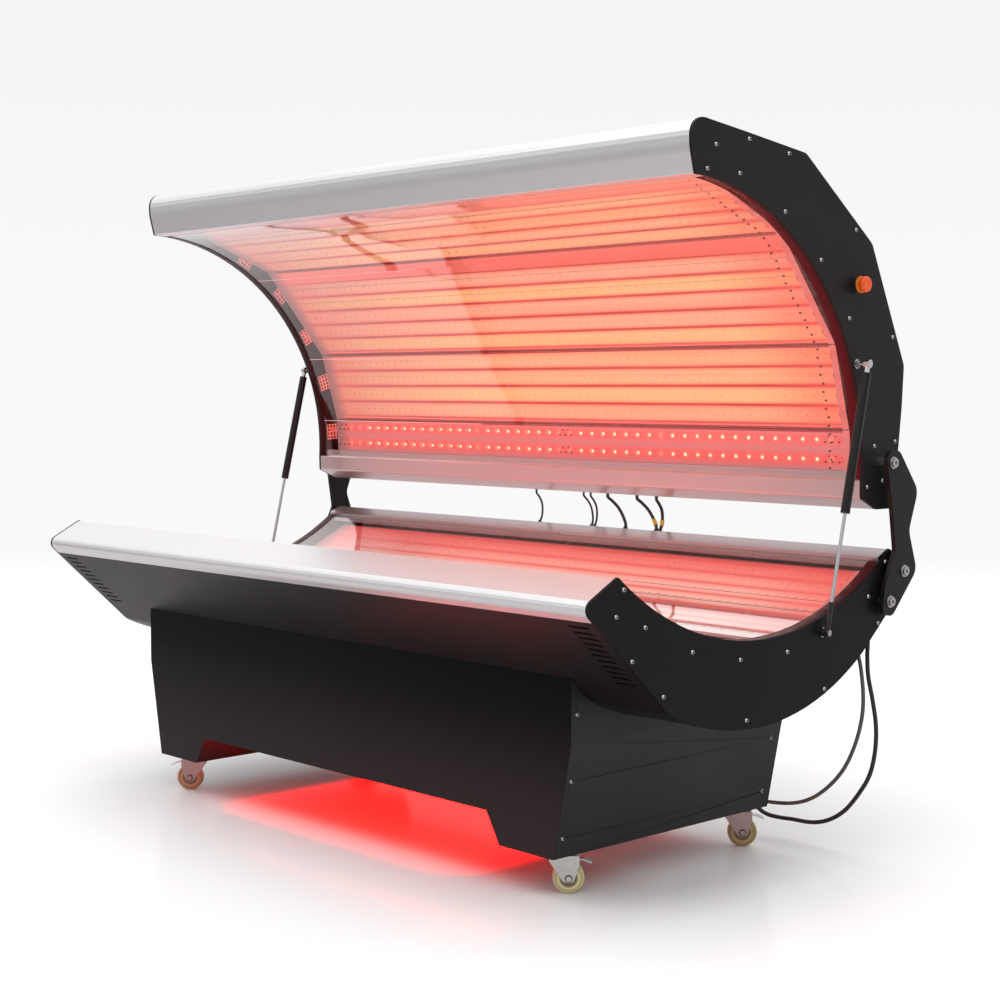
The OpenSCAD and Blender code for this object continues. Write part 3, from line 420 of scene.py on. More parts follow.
def strut_material(name, edge, before, after):
    """Black up to a distance along the strut's line, and bare metal after it."""
    s = Shader(name)
    past = s.over(s.along(STRUT_FOOT, (math.cos(STRUT_RISE), math.sin(STRUT_RISE))), edge)
    wear = s.noise(60, 4)
    s.colour(s.mix(past, s.mix(wear, before, scaled(1.4, before)), s.mix(wear, after, scaled(0.9, after))))
    s.feed(s.main.inputs["Metallic"], past)
    s.rough(s.span(wear, 0.12, 0.22))
    s.set(Specular_IOR_Level=0.28)
    return s


def acrylic_material():
    """Clear acrylic: its outer faces mirror by the Fresnel share of both faces, the rest is see-through."""
    s = Shader("clear_acrylic")
    clear = s.node("ShaderNodeBsdfTransparent")
    clear.inputs["Color"].default_value = (0.985, 0.965, 0.96, 1)
    gloss = s.node("ShaderNodeBsdfGlossy")
    gloss.inputs["Color"].default_value = (1, 1, 1, 1)
    gloss.inputs["Roughness"].default_value = 0.05
    fresnel = s.node("ShaderNodeFresnel")
    fresnel.inputs["IOR"].default_value = 1.49
    facing = s.minus(1.0, s.node("ShaderNodeNewGeometry").outputs["Backfacing"])
    share = s.math("MULTIPLY", facing, s.times(fresnel.outputs[0], 2.0), clamp=True)
    mixer = s.node("ShaderNodeMixShader")
    s.join(share, mixer.inputs[0])
    s.join(clear.outputs[0], mixer.inputs[1])
    s.join(gloss.outputs[0], mixer.inputs[2])
    s.join(mixer.outputs[0], s.out.inputs["Surface"])
    s.tree.nodes.remove(s.main)
    return s


# Lit boards: colours over a row, from its middle to the groove at its edge
CANOPY_BANDS = [
    (0.0, (1.0, 0.54, 0.23)), (0.60, (1.0, 0.48, 0.20)), (0.80, (0.98, 0.31, 0.14)),
    (0.90, (0.62, 0.065, 0.05)), (1.0, (0.36, 0.022, 0.02)),
]
CANOPY_PINKER = [
    (0.0, (0.99, 0.39, 0.27)), (0.60, (0.98, 0.34, 0.23)), (0.80, (0.92, 0.20, 0.15)),
    (0.90, (0.58, 0.055, 0.05)), (1.0, (0.36, 0.022, 0.02)),
]
TUB_BANDS = [
    (0.0, (1.0, 0.62, 0.48)), (0.55, (1.0, 0.52, 0.41)), (0.84, (0.94, 0.30, 0.24)),
    (0.93, (0.80, 0.18, 0.15)), (1.0, (0.70, 0.12, 0.10)),
]
TUB_PINKER = [
    (0.0, (1.0, 0.50, 0.44)), (0.55, (0.97, 0.42, 0.37)), (0.84, (0.91, 0.24, 0.21)),
    (0.93, (0.77, 0.15, 0.13)), (1.0, (0.66, 0.10, 0.09)),
]

# Dark lines at a board's two edges; how far apart the boards' row numbers lie, for the random tints; whole
# steps that keep the count of the lamps above 0; the largest share of pink; the length of the reddened
# ends; where the rows grow dull, and how far from the left end they are dimmed
JOINT_BEFORE, JOINT_AFTER = 0.006, 0.007
COUNTS_APART = 7.0
WHOLE_STEPS = 20
PINK_MOST = 0.85
RED_ENDS = 0.30
DULL_X = (-0.25, -0.80)
DIM_ENDS = (0.075, 0.018)


def lamp_dots(s, x, across, first):
    """A board's colour round its points of light, which are at first and every LAMP_PITCH from there; the board's
    red round the lamps and their halos are painted glow.
    """
    steps = s.math("MULTIPLY_ADD", x, 1 / LAMP_PITCH, WHOLE_STEPS + 0.5 - first / LAMP_PITCH)
    step = s.minus(s.math("FRACT", steps), 0.5)
    reach = s.length(s.times(step, LAMP_PITCH), across)
    side = s.between(s.abs(across), 0.006, 0.024)
    # Painted glow: the board round the lamps, and the halos, emit red though they are no lamps
    board = s.mix(side, (0.84, 0.105, 0.095), (0.60, 0.17, 0.17))
    halo = s.minus(1.0, s.between(reach, 0.002, 0.013))
    return s.mix(s.times(halo, 0.6), board, (1.0, 0.36, 0.19))


def painted_end_glow(s, x, glow, half):
    """The boards' ends past their rows, which have no lamps, with a painted glow: dark on the left, redder on the
    right.
    """
    fleck = s.noise(50, 3)
    # Painted glow: the ends past the rows have no lamps but emit this colour
    end_glow = s.mix(s.under(x, 0.0), s.mix(fleck, (0.58, 0.13, 0.12), (0.70, 0.18, 0.16)),
                  s.mix(fleck, (0.20, 0.085, 0.08), (0.30, 0.135, 0.125)))
    glow = s.mix(s.over(s.abs(x), half - ROW_END), glow, end_glow)
    dimmed = s.between(x, DIM_ENDS[0] - half, DIM_ENDS[1] - half)
    return s.mix(s.times(dimmed, 0.85), glow, (0.25, 0.10, 0.095))


def glow_material(name, shell, bands, pinker, bare, joint, dots=None, deep=None):
    """Lit LED boards. Each row glows in a band as wide as its pitch, with a dark groove to the next; bare
    strips have no lamps, glow red as painted light, and end in a dark line at the joint. dots = (board, first x)
    for points of light, and deep = (board, colour, share) for a board that turns a deeper red towards its second
    edge."""
    s = Shader(name)
    x = s.axes()[0]
    half = shell["half"]
    dy, dz = s.offsets(shell["centre"])
    past = [s.over(s.past_ray(dy, dz, a), 0.0) for a in shell["angles"]]
    off, lit, edge, count, across, dotted, deeper = (0.0,) * 7
    for i, (p, d, width, rows, pitch, first) in enumerate(facets(shell)):
        here = s.minus(past[i], past[i + 1])
        along = s.along(p, d)
        in_rows = s.math("MULTIPLY_ADD", along, 1 / pitch, -first / pitch)
        inside = s.times(s.over(in_rows, 0.0), s.under(in_rows, float(rows)))
        centred = s.minus(s.math("FRACT", in_rows), 0.5)
        near = s.math("MAXIMUM", s.under(along, JOINT_BEFORE), s.over(along, width - JOINT_AFTER))
        number = s.plus(s.math("FLOOR", in_rows), COUNTS_APART * i + 0.5)
        off = s.math("MULTIPLY_ADD", here, s.abs(centred), off)
        lit = s.math("MULTIPLY_ADD", here, inside, lit)
        edge = s.math("MULTIPLY_ADD", here, near, edge)
        count = s.math("MULTIPLY_ADD", here, number, count)
        if dots and i == dots[0]:
            across, dotted = s.times(centred, pitch), here
        if deep and i == deep[0]:
            deeper = s.times(here, s.times(s.between(along, 0.3 * width, 0.85 * width), deep[2]))

    # Each row has its own share of pink; all redden at both ends and grow duller to the left
    chance = s.node("ShaderNodeTexWhiteNoise", noise_dimensions="1D")
    s.join(count, chance.inputs["W"])
    streak = s.span(s.noise(4, 4, 0.6, (0.8, 9, 9)), -0.08, 0.08)
    shade = s.math("MULTIPLY_ADD", off, 2.0, streak, clamp=True)
    glow = s.mix(s.times(chance.outputs[0], PINK_MOST), s.ramp(shade, bands), s.ramp(shade, pinker))
    reddened = s.between(s.abs(x), half - RED_ENDS, half - ROW_END)
    glow = s.mix(s.times(reddened, 0.55), glow, (0.90, 0.085, 0.06))
    glow = s.mix(s.times(s.between(x, *DULL_X), 0.38), glow, (0.34, 0.14, 0.12))
    # Painted glow: the bare strips between and beside the rows have no lamps
    glow = s.mix(lit, bare, glow)
    if deep:
        glow = s.mix(deeper, glow, deep[1])
    if dots:
        glow = s.mix(dotted, glow, lamp_dots(s, x, across, dots[1]))
    glow = s.mix(edge, glow, joint)
    glow = painted_end_glow(s, x, glow, half)

    # The boards' backs give no light
    normal = s.node("ShaderNodeSeparateXYZ")
    s.join(s.node("ShaderNodeNewGeometry").outputs["Normal"], normal.inputs[0])
    outwards = s.math("MULTIPLY_ADD", normal.outputs[1], dy, s.times(normal.outputs[2], dz))
    s.glow(s.mix(s.under(outwards, 0.0), (0, 0, 0), glow), 1.0)
    s.colour((0.12, 0.025, 0.02))
    s.set(Roughness=0.5)
    return s


def lens_material(name, low, high, strength):
    s = Shader(name)
    s.colour((0.5, 0.25, 0.15))
    s.glow(s.ramp(s.noise(40, 2), [(0.3, low), (0.7, high)]), strength)
    s.set(Roughness=0.25)
    return s


def strip_edge_material():
    """Polished edge of acrylic with a painted glow, greyer towards the left and redder towards the right."""
    s = Shader("painted_edge_glow")
    s.colour((0.35, 0.25, 0.24))
    s.rough(s.span(s.noise(40, 3), 0.15, 0.3))
    # Painted glow: the edges emit the light they seem to catch
    s.glow(s.mix(s.between(s.axes()[0], -0.95, -0.30), (0.52, 0.36, 0.35), (0.80, 0.24, 0.19)), 0.9)
    return s


# The emergency stop's ring is what lies past STOP_BASE_T from the plate, and outside STOP_RING_R or past
# STOP_RING_T
STOP_RING_R, STOP_BASE_T, STOP_RING_T = 0.0152, 0.0119, 0.0149


def stop_material():
    """Black collar whose outer ring is orange, lighter than the cap as a painted highlight."""
    s = Shader("stop_collar")
    x = s.axes()[0]
    outer = s.math("MAXIMUM", s.over(s.length(*s.offsets(STOP_AT)), STOP_RING_R),
                   s.over(x, CANOPY_HALF + STOP_RING_T))
    outside = s.over(x, CANOPY_HALF + STOP_BASE_T)
    wear = s.noise(90, 4)
    # The ring's orange is its own; its lighter tone than the cap is painted highlight
    s.colour(s.mix(s.times(outer, outside), s.mix(wear, (0.012, 0.012, 0.013), (0.02, 0.02, 0.021)),
                   s.mix(wear, (0.78, 0.19, 0.02), (0.86, 0.26, 0.035))))
    s.rough(s.span(wear, 0.32, 0.42))
    return s


UNDERGLOW_FACE = RIDE + 0.0679


def underglow_material():
    """Pale channel, whose lower face is the red lamp."""
    s = Shader("underglow")
    lamp = s.under(s.axes()[2], UNDERGLOW_FACE)
    grain = s.noise(200, 2)
    s.colour(s.mix(lamp, s.mix(grain, (0.5, 0.5, 0.5), (0.62, 0.62, 0.62)), (0.3, 0.01, 0.01)))
    s.rough(s.span(grain, 0.3, 0.4))
    s.glow(s.mix(lamp, (0, 0, 0), s.mix(grain, (1.0, 0.02, 0.02), (1.0, 0.05, 0.035))), 9.0)
    return s


def front_panel_material():
    """Satin black with painted shade, darkest just under the tub and lighter towards the bottom, with a slow
    change of shade along the panel.
    """
    s = coated("front_panel_painted_shade", 0.34)
    low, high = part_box("plinth_front_panel")
    tall = high[2] - low[2]
    share = s.math("MULTIPLY_ADD", s.axes()[2], 1 / tall, -low[2] / tall)
    # Painted shade: the panel darkens towards its top, under the tub's overhang
    s.colour(s.ramp(s.plus(share, s.span(s.noise(1.6, 3), -0.06, 0.06)), [
        (0.0, (0.029, 0.023, 0.0245)), (0.30, (0.021, 0.0168, 0.0178)), (0.58, (0.0105, 0.0084, 0.0090)),
        (0.80, (0.0028, 0.0023, 0.0025)), (1.0, (0.0009, 0.0008, 0.0009)),
    ]))
    s.set(Specular_IOR_Level=0.07)
    return s


RIM_MARGIN = 0.0001


def rimmed_material(name, half, rim_reflection, reflection_lift=1.0):
    """End plate: satin black, made lighter by a factor as painted reflection, with a glossy rim strip inside whose
    dark red is a painted reflection of the lamps.
    """
    s = Shader(name)
    s.peel()
    inside = s.under(s.abs(s.axes()[0]), half - PLATE_T - RIM_MARGIN)
    # Painted reflection: the plate's black is made lighter by a factor, and the rim strip is red
    plate = s.slow_shade(*(scaled(reflection_lift, tone) for tone in BLACK))
    s.colour(s.mix(inside, plate, s.mix(s.noise(14, 3), rim_reflection, scaled(1.3, rim_reflection))))
    s.rough(s.span(inside, 0.36, 0.26))
    s.set(Specular_IOR_Level=0.10)
    return s


# The canopy's end walls lie past WALL_AT, with a row of vent squares on one radius
WALL_AT = HOLLOW["half"] + 0.021
VENT_RING = 0.685
VENT_SIDE = 0.050
VENT_ANGLES = (4, 18, 32, 46, 60.5)


def wall_material():
    """Canopy ribs: grey frames, and end walls, the right one redder as painted red light, whose vent squares glow
    pink as painted light from behind them.
    """
    s = Shader("canopy_ribs_and_walls")
    x = s.axes()[0]
    dy, dz = s.offsets(HOLLOW["centre"])
    wall = s.over(s.abs(x), WALL_AT)
    in_ring = s.under(s.abs(s.minus(s.length(dy, dz), VENT_RING)), VENT_SIDE / 2)
    squares = 0.0
    for a in VENT_ANGLES:
        square = s.under(s.abs(s.past_ray(dy, dz, a)), VENT_SIDE / 2)
        squares = s.math("MAXIMUM", squares, square)
    vent = s.times(s.times(in_ring, squares), wall)
    mottle = s.noise(60, 4)
    grey = s.mix(mottle, (0.10, 0.085, 0.08), (0.14, 0.118, 0.11))
    # Painted light: the right end wall is given the red of the lamps' light, the left one stays dark
    wall_red_light = s.mix(s.over(x, 0.0), s.mix(mottle, (0.030, 0.011, 0.012), (0.052, 0.020, 0.021)),
                  s.mix(mottle, (0.16, 0.012, 0.016), (0.22, 0.02, 0.024)))
    # Painted glow: the vent squares emit as if lit from behind
    vent_glow = s.mix(mottle, (0.62, 0.20, 0.17), (0.72, 0.27, 0.23))
    s.colour(s.mix(vent, s.mix(wall, grey, wall_red_light), vent_glow))
    s.rough(s.span(mottle, 0.42, 0.55))
    s.glow(s.mix(vent, (0, 0, 0), (0.62, 0.16, 0.13)), 0.6)
    return s


# Casters: each tread and fork has its own shade, as the photograph's light gives it
TREADS = {
    "front_right": (0.56, 0.55, 0.29), "front_left": (0.46, 0.21, 0.09),
    "rear_right": (0.42, 0.30, 0.13), "rear_left": (0.46, 0.34, 0.16),
}
FORKS = {
    "front_right": (0.76, 0.78, 0.75), "front_left": (0.62, 0.37, 0.35),
    "rear_right": (0.60, 0.43, 0.41), "rear_left": (0.66, 0.52, 0.49),
}
AXLE_HEAD = 0.0078


def wheel_material(corner, centre):
    """Steel-grey hub inside, ringed core, see-through tread outside, in its corner's tint, which is painted light
    and shade.
    """
    # The corner's tint is painted red light and shade
    tread = TREADS[corner]
    s = Shader("tread_" + corner)
    offsets = [s.minus(axis, middle) for axis, middle in zip(s.axes(), centre)]
    reach = s.times(s.length(*offsets), 1 / WHEEL_R)
    darker = scaled(0.6, tread)
    s.colour(s.ramp(s.math("MULTIPLY_ADD", s.noise(60, 4), 0.03, reach), [
        (0.24, (0.34, 0.33, 0.31)), (0.34, (0.10, 0.075, 0.055)), (0.50, (0.28, 0.21, 0.15)),
        (0.58, (0.11, 0.08, 0.05)), (0.66, darker), (0.74, scaled(1.35, tread)), (0.84, tread),
        (0.90, darker), (0.95, tread),
    ]))
    s.set(Subsurface_Weight=0.2, Coat_Weight=0.2, Subsurface_Scale=0.4)
    s.main.inputs["Subsurface Radius"].default_value = (0.012, 0.010, 0.005)
    s.rough(s.span(s.noise(30, 4), 0.28, 0.42))
    return s


def fork_material(corner):
    """Zinc-plated fork in its corner's tint, which is painted light and shade, with a painted shadow ring where
    the axle's head meets the leg.
    """
    s = metal("fork_" + corner, FORKS[corner], 0.26, 900, 0.75)
    spin = next(j for j in frame["joints"] if j["name"] == "wheel_spin_" + corner)
    offsets = [s.minus(axis, middle) for axis, middle in zip(s.axes(), spin["pos_m"])]
    along = 0.0
    for offset, part in zip(offsets, Vector(spin["axis"]).normalized()):
        along = s.math("MULTIPLY_ADD", offset, part, along)
    reach = s.math("SQRT", s.minus(s.squares(*offsets), s.math("POWER", along, 2.0)))
    # Painted shadow: a dark ring round the axle's head
    axle_shadow = s.minus(1.0, s.between(s.abs(s.minus(reach, AXLE_HEAD)), 0.0006, 0.0022))
    s.colour(s.mix(s.times(axle_shadow, 0.85), s.base, (0.05, 0.045, 0.04)))
    return s


def build_materials():
    """All finishes by name, those of the slots first. The casters' wheels and forks get theirs later."""
    made = {
        "black_sheet": painted("satin_black", *BLACK, 0.32),
        "grey_frame": painted("frame_grey", (0.085, 0.072, 0.068), (0.14, 0.118, 0.11), 0.48, 500),
        "silver_profile": satin_silver("anodised_silver"),
        "screw_steel": metal("screw_steel", (0.50, 0.49, 0.48), 0.28, 700),
        "dark_steel": metal("stud_steel", (0.40, 0.39, 0.38), 0.13, 700),
        "supply_case": painted("case_grey", (0.34, 0.34, 0.35), (0.42, 0.42, 0.43), 0.42),
        "black_plastic": painted("black_plastic", (0.011, 0.011, 0.012), (0.02, 0.02, 0.022), 0.42,
                                 1400, 0.12),
        "zinc": metal("bright_zinc", (0.74, 0.74, 0.72), 0.26, 900, 0.75),
        "grey_cable": painted("grey_jacket", (0.075, 0.07, 0.068), (0.105, 0.1, 0.096), 0.5, 700),
        "black_cable": painted("black_jacket", (0.010, 0.010, 0.011), (0.02, 0.02, 0.021), 0.45, 700),
        "strut_chrome": strut_material("chromed_rod", STRUT_SOCKET_END, (0.014, 0.014, 0.015),
                                       (0.52, 0.52, 0.53)),
        "strut_black": strut_material("lacquered_cylinder", STRUT_CYLINDER_END, (0.0045, 0.004, 0.0042),
                                      (0.60, 0.59, 0.58)),
        "clear_acrylic": acrylic_material(),
        "stop_orange": painted("stop_orange", (0.82, 0.085, 0.012), (0.9, 0.12, 0.02), 0.3, 800, 0.05),
        # Darker copies of the silver for the rear profiles: painted shade
        "canopy_rear_silver_painted_shade": satin_silver("canopy_rear_silver_painted_shade", 0.74),
        "tub_rear_silver_painted_shade": satin_silver("tub_rear_silver_painted_shade", 0.50),
        # The end panels' black is lighter than the satin black: painted light
        "end_panel": painted("end_panel_black", (0.011, 0.0098, 0.0108), (0.016, 0.0145, 0.0155), 0.36),
        "front_panel": front_panel_material(),
        "canopy_glow": glow_material("canopy_boards_lit", HOLLOW, CANOPY_BANDS, CANOPY_PINKER,
                                     (0.86, 0.14, 0.105), (0.22, 0.016, 0.016), dots=(0, FIRST_LAMP)),
        "tub_glow": glow_material("tub_boards_lit", TROUGH, TUB_BANDS, TUB_PINKER, (0.80, 0.17, 0.15),
                                  (0.42, 0.05, 0.045), deep=(3, (0.74, 0.075, 0.065), 0.8)),
        "lamp_lens": lens_material("lens_bright", (1.0, 0.72, 0.40), (1.0, 0.90, 0.62), 1.25),
        "small_lens": lens_material("lens_small", (0.80, 0.035, 0.03), (0.9, 0.06, 0.045), 0.8),
        "stop_collar": stop_material(),
        "underglow": underglow_material(),
        # The canopy plates' black is painted twice as light as reflection; each rim's red is painted reflection of
        # the lamps, the right one redder
        "canopy_plate_right": rimmed_material("canopy_plate_right", CANOPY_HALF, (0.055, 0.004, 0.007), 2.0),
        "canopy_plate_left": rimmed_material("canopy_plate_left", CANOPY_HALF, (0.018, 0.002, 0.003), 2.0),
        "tub_plate": rimmed_material("tub_plate", TUB_HALF, (0.030, 0.006, 0.007)),
        "canopy_walls": wall_material(),
        "yellow": painted("yellow_band", (0.50, 0.43, 0.02), (0.62, 0.54, 0.04), 0.4),
        "painted_edge_glow": strip_edge_material(),
        "drive": painted("drive_shadow", (0.006, 0.006, 0.006), (0.014, 0.013, 0.013), 0.5, 1400, 0.1),
    }
    made["black_sheet"].set(Specular_IOR_Level=0.17)
    made["end_panel"].set(Specular_IOR_Level=0.32)
    made["stop_orange"].set(Coat_Weight=0.12, Coat_Roughness=0.2, Specular_IOR_Level=0.3)
    return {name: s.material for name, s in made.items()}


materials = build_materials()


def add_piece(name, points, faces, body, finish, slot, smooth=False):
    mesh = bpy.data.meshes.new(name)
    mesh.from_pydata([tuple(p) for p in points], [], faces)
    mesh.validate()
    mesh.update()
    mesh.materials.append(materials[finish])
    if smooth:
        mesh.shade_smooth()
    piece = bpy.data.objects.new(name, mesh)
    link(piece)
    if body:
        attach(piece, body)
    return piece


# Cords: route points as [x, y, height above the plinth's edge] in millimetres, as in the CAD source
GREY_ROUTE = [
    (990, 478, 470), (1000, 486, 448), (1016, 486, 416), (1030, 484, 376), (1040, 482, 310),
    (1039, 480, 252), (1022, 480, 186), (990, 480, 118), (945, 480, 64), (889, 480, 21),
    (826, 480, -3), (745, 481, -13), (705, 478, -10), (678, 464, 2), (664, 447, 16),
    (660, 431, 23), (660, 415, 24),
]
BLACK_ROUTE = [
    (1036, 497, 462), (1036, 504, 440), (1036, 503, 404), (1041, 501, 354), (1056, 500, 294),
    (1067, 500, 232), (1066, 500, 169), (1052, 500, 108), (1023, 500, 57), (978, 500, 2),
    (928, 500, -32), (875, 500, -48), (812, 500, -51), (775, 495, -52), (745, 480, -46),
    (724, 464, -28), (712, 452, -4), (708, 441, 16), (708, 428, 23), (708, 415, 24),
]

# Link cables: x at the tub, x at the canopy, diameter; they share one (y, height) route
LINKS = [
    (-160, -160, 6), (54, 36, 6), (66, 64, 6), (188, 132, 9), (305, 245, 9), (318, 318, 9),
]
LINK_ROUTE = [(530, 677), (537, 691), (539.5, 712), (536, 733), (525, 750), (514, 762), (514, 771)]
STEPS = 6
JACKET_SIDES, LINK_SIDES = 20, 16
FIRST_TAPED = 4
TAPED = slice(5, 11)
TAPE_T = 0.0014


def make_cords():
    for node, route, diameter, slot in (
        ("cable_grey", GREY_ROUTE, 0.010, "grey_cable"),
        ("cable_black", BLACK_ROUTE, 0.011, "black_cable"),
    ):
        path = catmull(at_plinth(route), STEPS)
        cord = add_piece(node + "_jacket", *tube(path, diameter / 2, JACKET_SIDES), "base", slot, slot, True)
        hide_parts(node)
        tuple(path[0])
        length_of(path)
    low, rise = LINK_ROUTE[0][1], LINK_ROUTE[-2][1] - LINK_ROUTE[0][1]
    for i, (x0, x1, d) in enumerate(LINKS):
        route = [(x0 + (x1 - x0) * min(1, (z - low) / rise), y, z) for y, z in LINK_ROUTE]
        path = catmull(at_plinth(route), STEPS)
        piece = add_piece(f"link_cable_{i + 1}", *tube(path, d / 2000, LINK_SIDES), None,
                          "black_cable", "black_cable", True)
        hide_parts("canopy_cables")
        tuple(path[0])
        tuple(path[-1])
        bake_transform(piece)
        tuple(path[0])
        length_of(path)
        if i >= FIRST_TAPED:
            wrap = tube(path[TAPED], d / 2000 + TAPE_T, JACKET_SIDES)
            tape = add_piece(f"cable_band_{i + 1 - FIRST_TAPED}", *wrap, None, "yellow", "stop_orange", True)
            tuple(path[0])
            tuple(path[-1])
            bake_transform(tape)


make_cords()


# Small parts on the boards
SUNK = 0.0002
SQUARE = ((-1, -1), (1, -1), (1, 1), (-1, 1))
BLOCK = [(0, 1, 5, 4), (1, 2, 6, 5), (2, 3, 7, 6), (3, 0, 4, 7), (4, 5, 6, 7)]
RING_8 = [(math.cos(math.pi * k / 4), math.sin(math.pi * k / 4)) for k in range(8)]
# A lens in shares of its width: its housing's height, and its dome's (radius, height)
HOUSING_H = 0.12
DOME = [(0.44, 0.11), (0.40, 0.26), (0.25, 0.40)]
DOME_TOP = 0.45


def board_axes(direction):
    """Along the bed, across a board in its direction, and inwards from its face."""
    return Vector((1, 0, 0)), Vector((0, *direction)), Vector((0, -direction[1], direction[0]))


def on_board(p, d, across):
    """The point of the section that is across a board from its start, at the height of its rows."""
    return p + d * across + Vector((-d[1], d[0])) * ROW_H


def add_block(heap, at, axes, size):
    """A box that stands on a board: size = (along the bed, across the board, height)."""
    side, other, up = axes
    half_x, half_y, high = size[0] / 2, size[1] / 2, size[2]
    corners = [at + side * half_x * i + other * half_y * j for i, j in SQUARE]
    heap.add([q - up * SUNK for q in corners] + [q + up * high for q in corners], BLOCK)


def add_lens(heap, at, axes, size):
    """One lens: a low square housing as wide as size, and a dome on it."""
    side, other, up = axes
    add_block(heap, at, axes, (size, size, HOUSING_H * size))
    dome = [at + up * h * size + (side * c + other * k) * r * size for r, h in DOME for c, k in RING_8]
    dome.append(at + up * DOME_TOP * size)
    sides = len(RING_8)
    top = (len(DOME) - 1) * sides
    cap = [(top + j, top + (j + 1) % sides, top + sides) for j in range(sides)]
    heap.add(dome, ring_faces(len(DOME), sides) + cap)


def row_lines(shell, chosen):
    """For each row of the chosen boards: its line in the section, and the board's direction."""
    for i in chosen:
        p, d, _, rows, pitch, first = facets(shell)[i]
        for row in range(rows):
            yield on_board(p, d, first + pitch * (row + 0.5)), d


def make_lenses(name, shell, chosen, body, places, size, finish):
    heap = Heap()
    for mid, d in row_lines(shell, chosen):
        for x in places:
            add_lens(heap, Vector((x, *mid)), board_axes(d), size)
    add_piece(name, heap.points, heap.faces, body, finish, "led_board")


def evenly(half, pitch):
    count = int(2 * half / pitch)
    return [(k - (count - 1) / 2) * pitch for k in range(count)]


# The lowest board's lamps stand in groups with connectors between them, alike on both sides of its middle
LAMP_MIDDLE = 0.038
SECOND_GROUP, SECOND_PITCH = 0.362, 0.0435
HALF_PITCH = 0.0217
CONNECTOR_END = 0.09
LENS, SMALL_LENS, LENS_PITCH = 0.0068, 0.0038, 0.030
group = [FIRST_LAMP - LAMP_PITCH * k for k in range(12)] + [SECOND_GROUP - SECOND_PITCH * k for k in range(7)]
lamp_x = group + [2 * LAMP_MIDDLE - x for x in group]
small_x = [x - HALF_PITCH for x in group if x - HALF_PITCH > CONNECTOR_END]
small_x += [2 * LAMP_MIDDLE - x + HALF_PITCH for x in group]
make_lenses("canopy_lamps", HOLLOW, (0,), "canopy", lamp_x, LENS, "lamp_lens")
make_lenses("canopy_small_lamps", HOLLOW, (0,), "canopy", small_x, SMALL_LENS, "small_lens")
make_lenses("canopy_lenses", HOLLOW, (1, 2, 3), "canopy", evenly(0.985, LENS_PITCH), LENS, "canopy_glow")
make_lenses("tub_lenses", TROUGH, (0, 1, 2, 3), "base", evenly(1.005, LENS_PITCH), LENS, "tub_glow")


# Polished edges of the canopy's acrylic strips towards the left, with a painted glow for the light they catch
STRIP_END, STRIP_SHOWN_TO = 0.029, -0.28
STRIP_X = (-CANOPY_HALF + PLATE_T + STRIP_END, STRIP_SHOWN_TO)
STRIP_INNER, STRIP_OUTER = HOLLOW_FACE - 0.0007, HOLLOW_FACE + 0.0003
STRIP_TURN = 0.06


def make_strip_edges():
    heap = Heap()
    for a in HOLLOW["angles"][1:-1]:
        low, high = a - STRIP_TURN, a + STRIP_TURN
        corners = ((STRIP_OUTER, low), (STRIP_INNER, low), (STRIP_INNER, high), (STRIP_OUTER, high))
        section = [ring(HOLLOW["centre"], r, b) for r, b in corners]
        points = [Vector((x, *p)) for x in STRIP_X for p in section]
        heap.add(points, BLOCK + [(3, 2, 1, 0)])
    add_piece("canopy_strip_edges", heap.points, heap.faces, "canopy", "painted_edge_glow", "clear_acrylic")


make_strip_edges()


# Dark clips in a staggered line near the boards' right ends, and chips beside the lamps
CLIP_X, CLIP_PITCH, CLIP_SHIFT = 0.963, 0.023, 0.004
CLIP_SIZE = (0.005, 0.004, 0.003)
CHIP_LINES = ((0.016, 0.011), (0.949, 0.0105), (-1.003, 0.0105))
CHIPS = 5
CHIP_KINDS = ((-0.006, (0.006, 0.004, 0.0015)), (0.008, (0.003, 0.004, 0.0015)))


def make_clips():
    heap = Heap()
    for p, d, width, *_ in facets(HOLLOW):
        count = round(width / CLIP_PITCH)
        for k in range(count):
            mid = on_board(p, d, width * (k + 0.5) / count)
            add_block(heap, Vector((CLIP_X + CLIP_SHIFT * (k % 2), *mid)), board_axes(d), CLIP_SIZE)
    add_piece("canopy_clips", heap.points, heap.faces, "canopy", "black_plastic", "black_plastic")


def make_chips():
    heap = Heap()
    for mid, d in row_lines(HOLLOW, (0,)):
        axes = board_axes(d)
        for k in range(CHIPS):
            shift, size = CHIP_KINDS[k % 2]
            for start, step in CHIP_LINES:
                add_block(heap, Vector((start + step * k, *mid)) + axes[1] * shift, axes, size)
    add_piece("canopy_chips", heap.points, heap.faces, "canopy", "black_plastic", "black_plastic")


make_clips()
make_chips()


# Emergency stop: mushroom cap with a rounded edge and a shallow dish, as (radius, height over the collar)
STOP_PROFILE = [
    (0.0070, -0.020), (0.0070, 0.0066), (0.0178, 0.0066), (0.0192, 0.0078), (0.0196, 0.0100),
    (0.0194, 0.0130), (0.0184, 0.0158), (0.0166, 0.0177), (0.0140, 0.0185), (0.0110, 0.0182),
    (0.0070, 0.0176), (0.0010, 0.0174),
]
STOP_SIDES = 48


def make_stop():
    y0, z0 = STOP_AT
    form = lathe(STOP_PROFILE, STOP_SIDES, lambda a, b, h: Vector((STOP_FACE + h, y0 + a, z0 + b)))
    cap = add_piece("estop_mushroom", *form, "estop", "stop_orange", "stop_orange", True)
    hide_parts("estop_cap")


make_stop()


# Screw heads: a dark hexagonal drive in a raised lip on each
DRIVE = 0.0022
LIP = DRIVE + 0.0007
DRIVE_PROFILE = [(LIP, -0.0006), (LIP, 0.0003), (DRIVE, 0.0003), (DRIVE, 0.00008), (0.0002, 0.00006)]
HEXAGON = 6


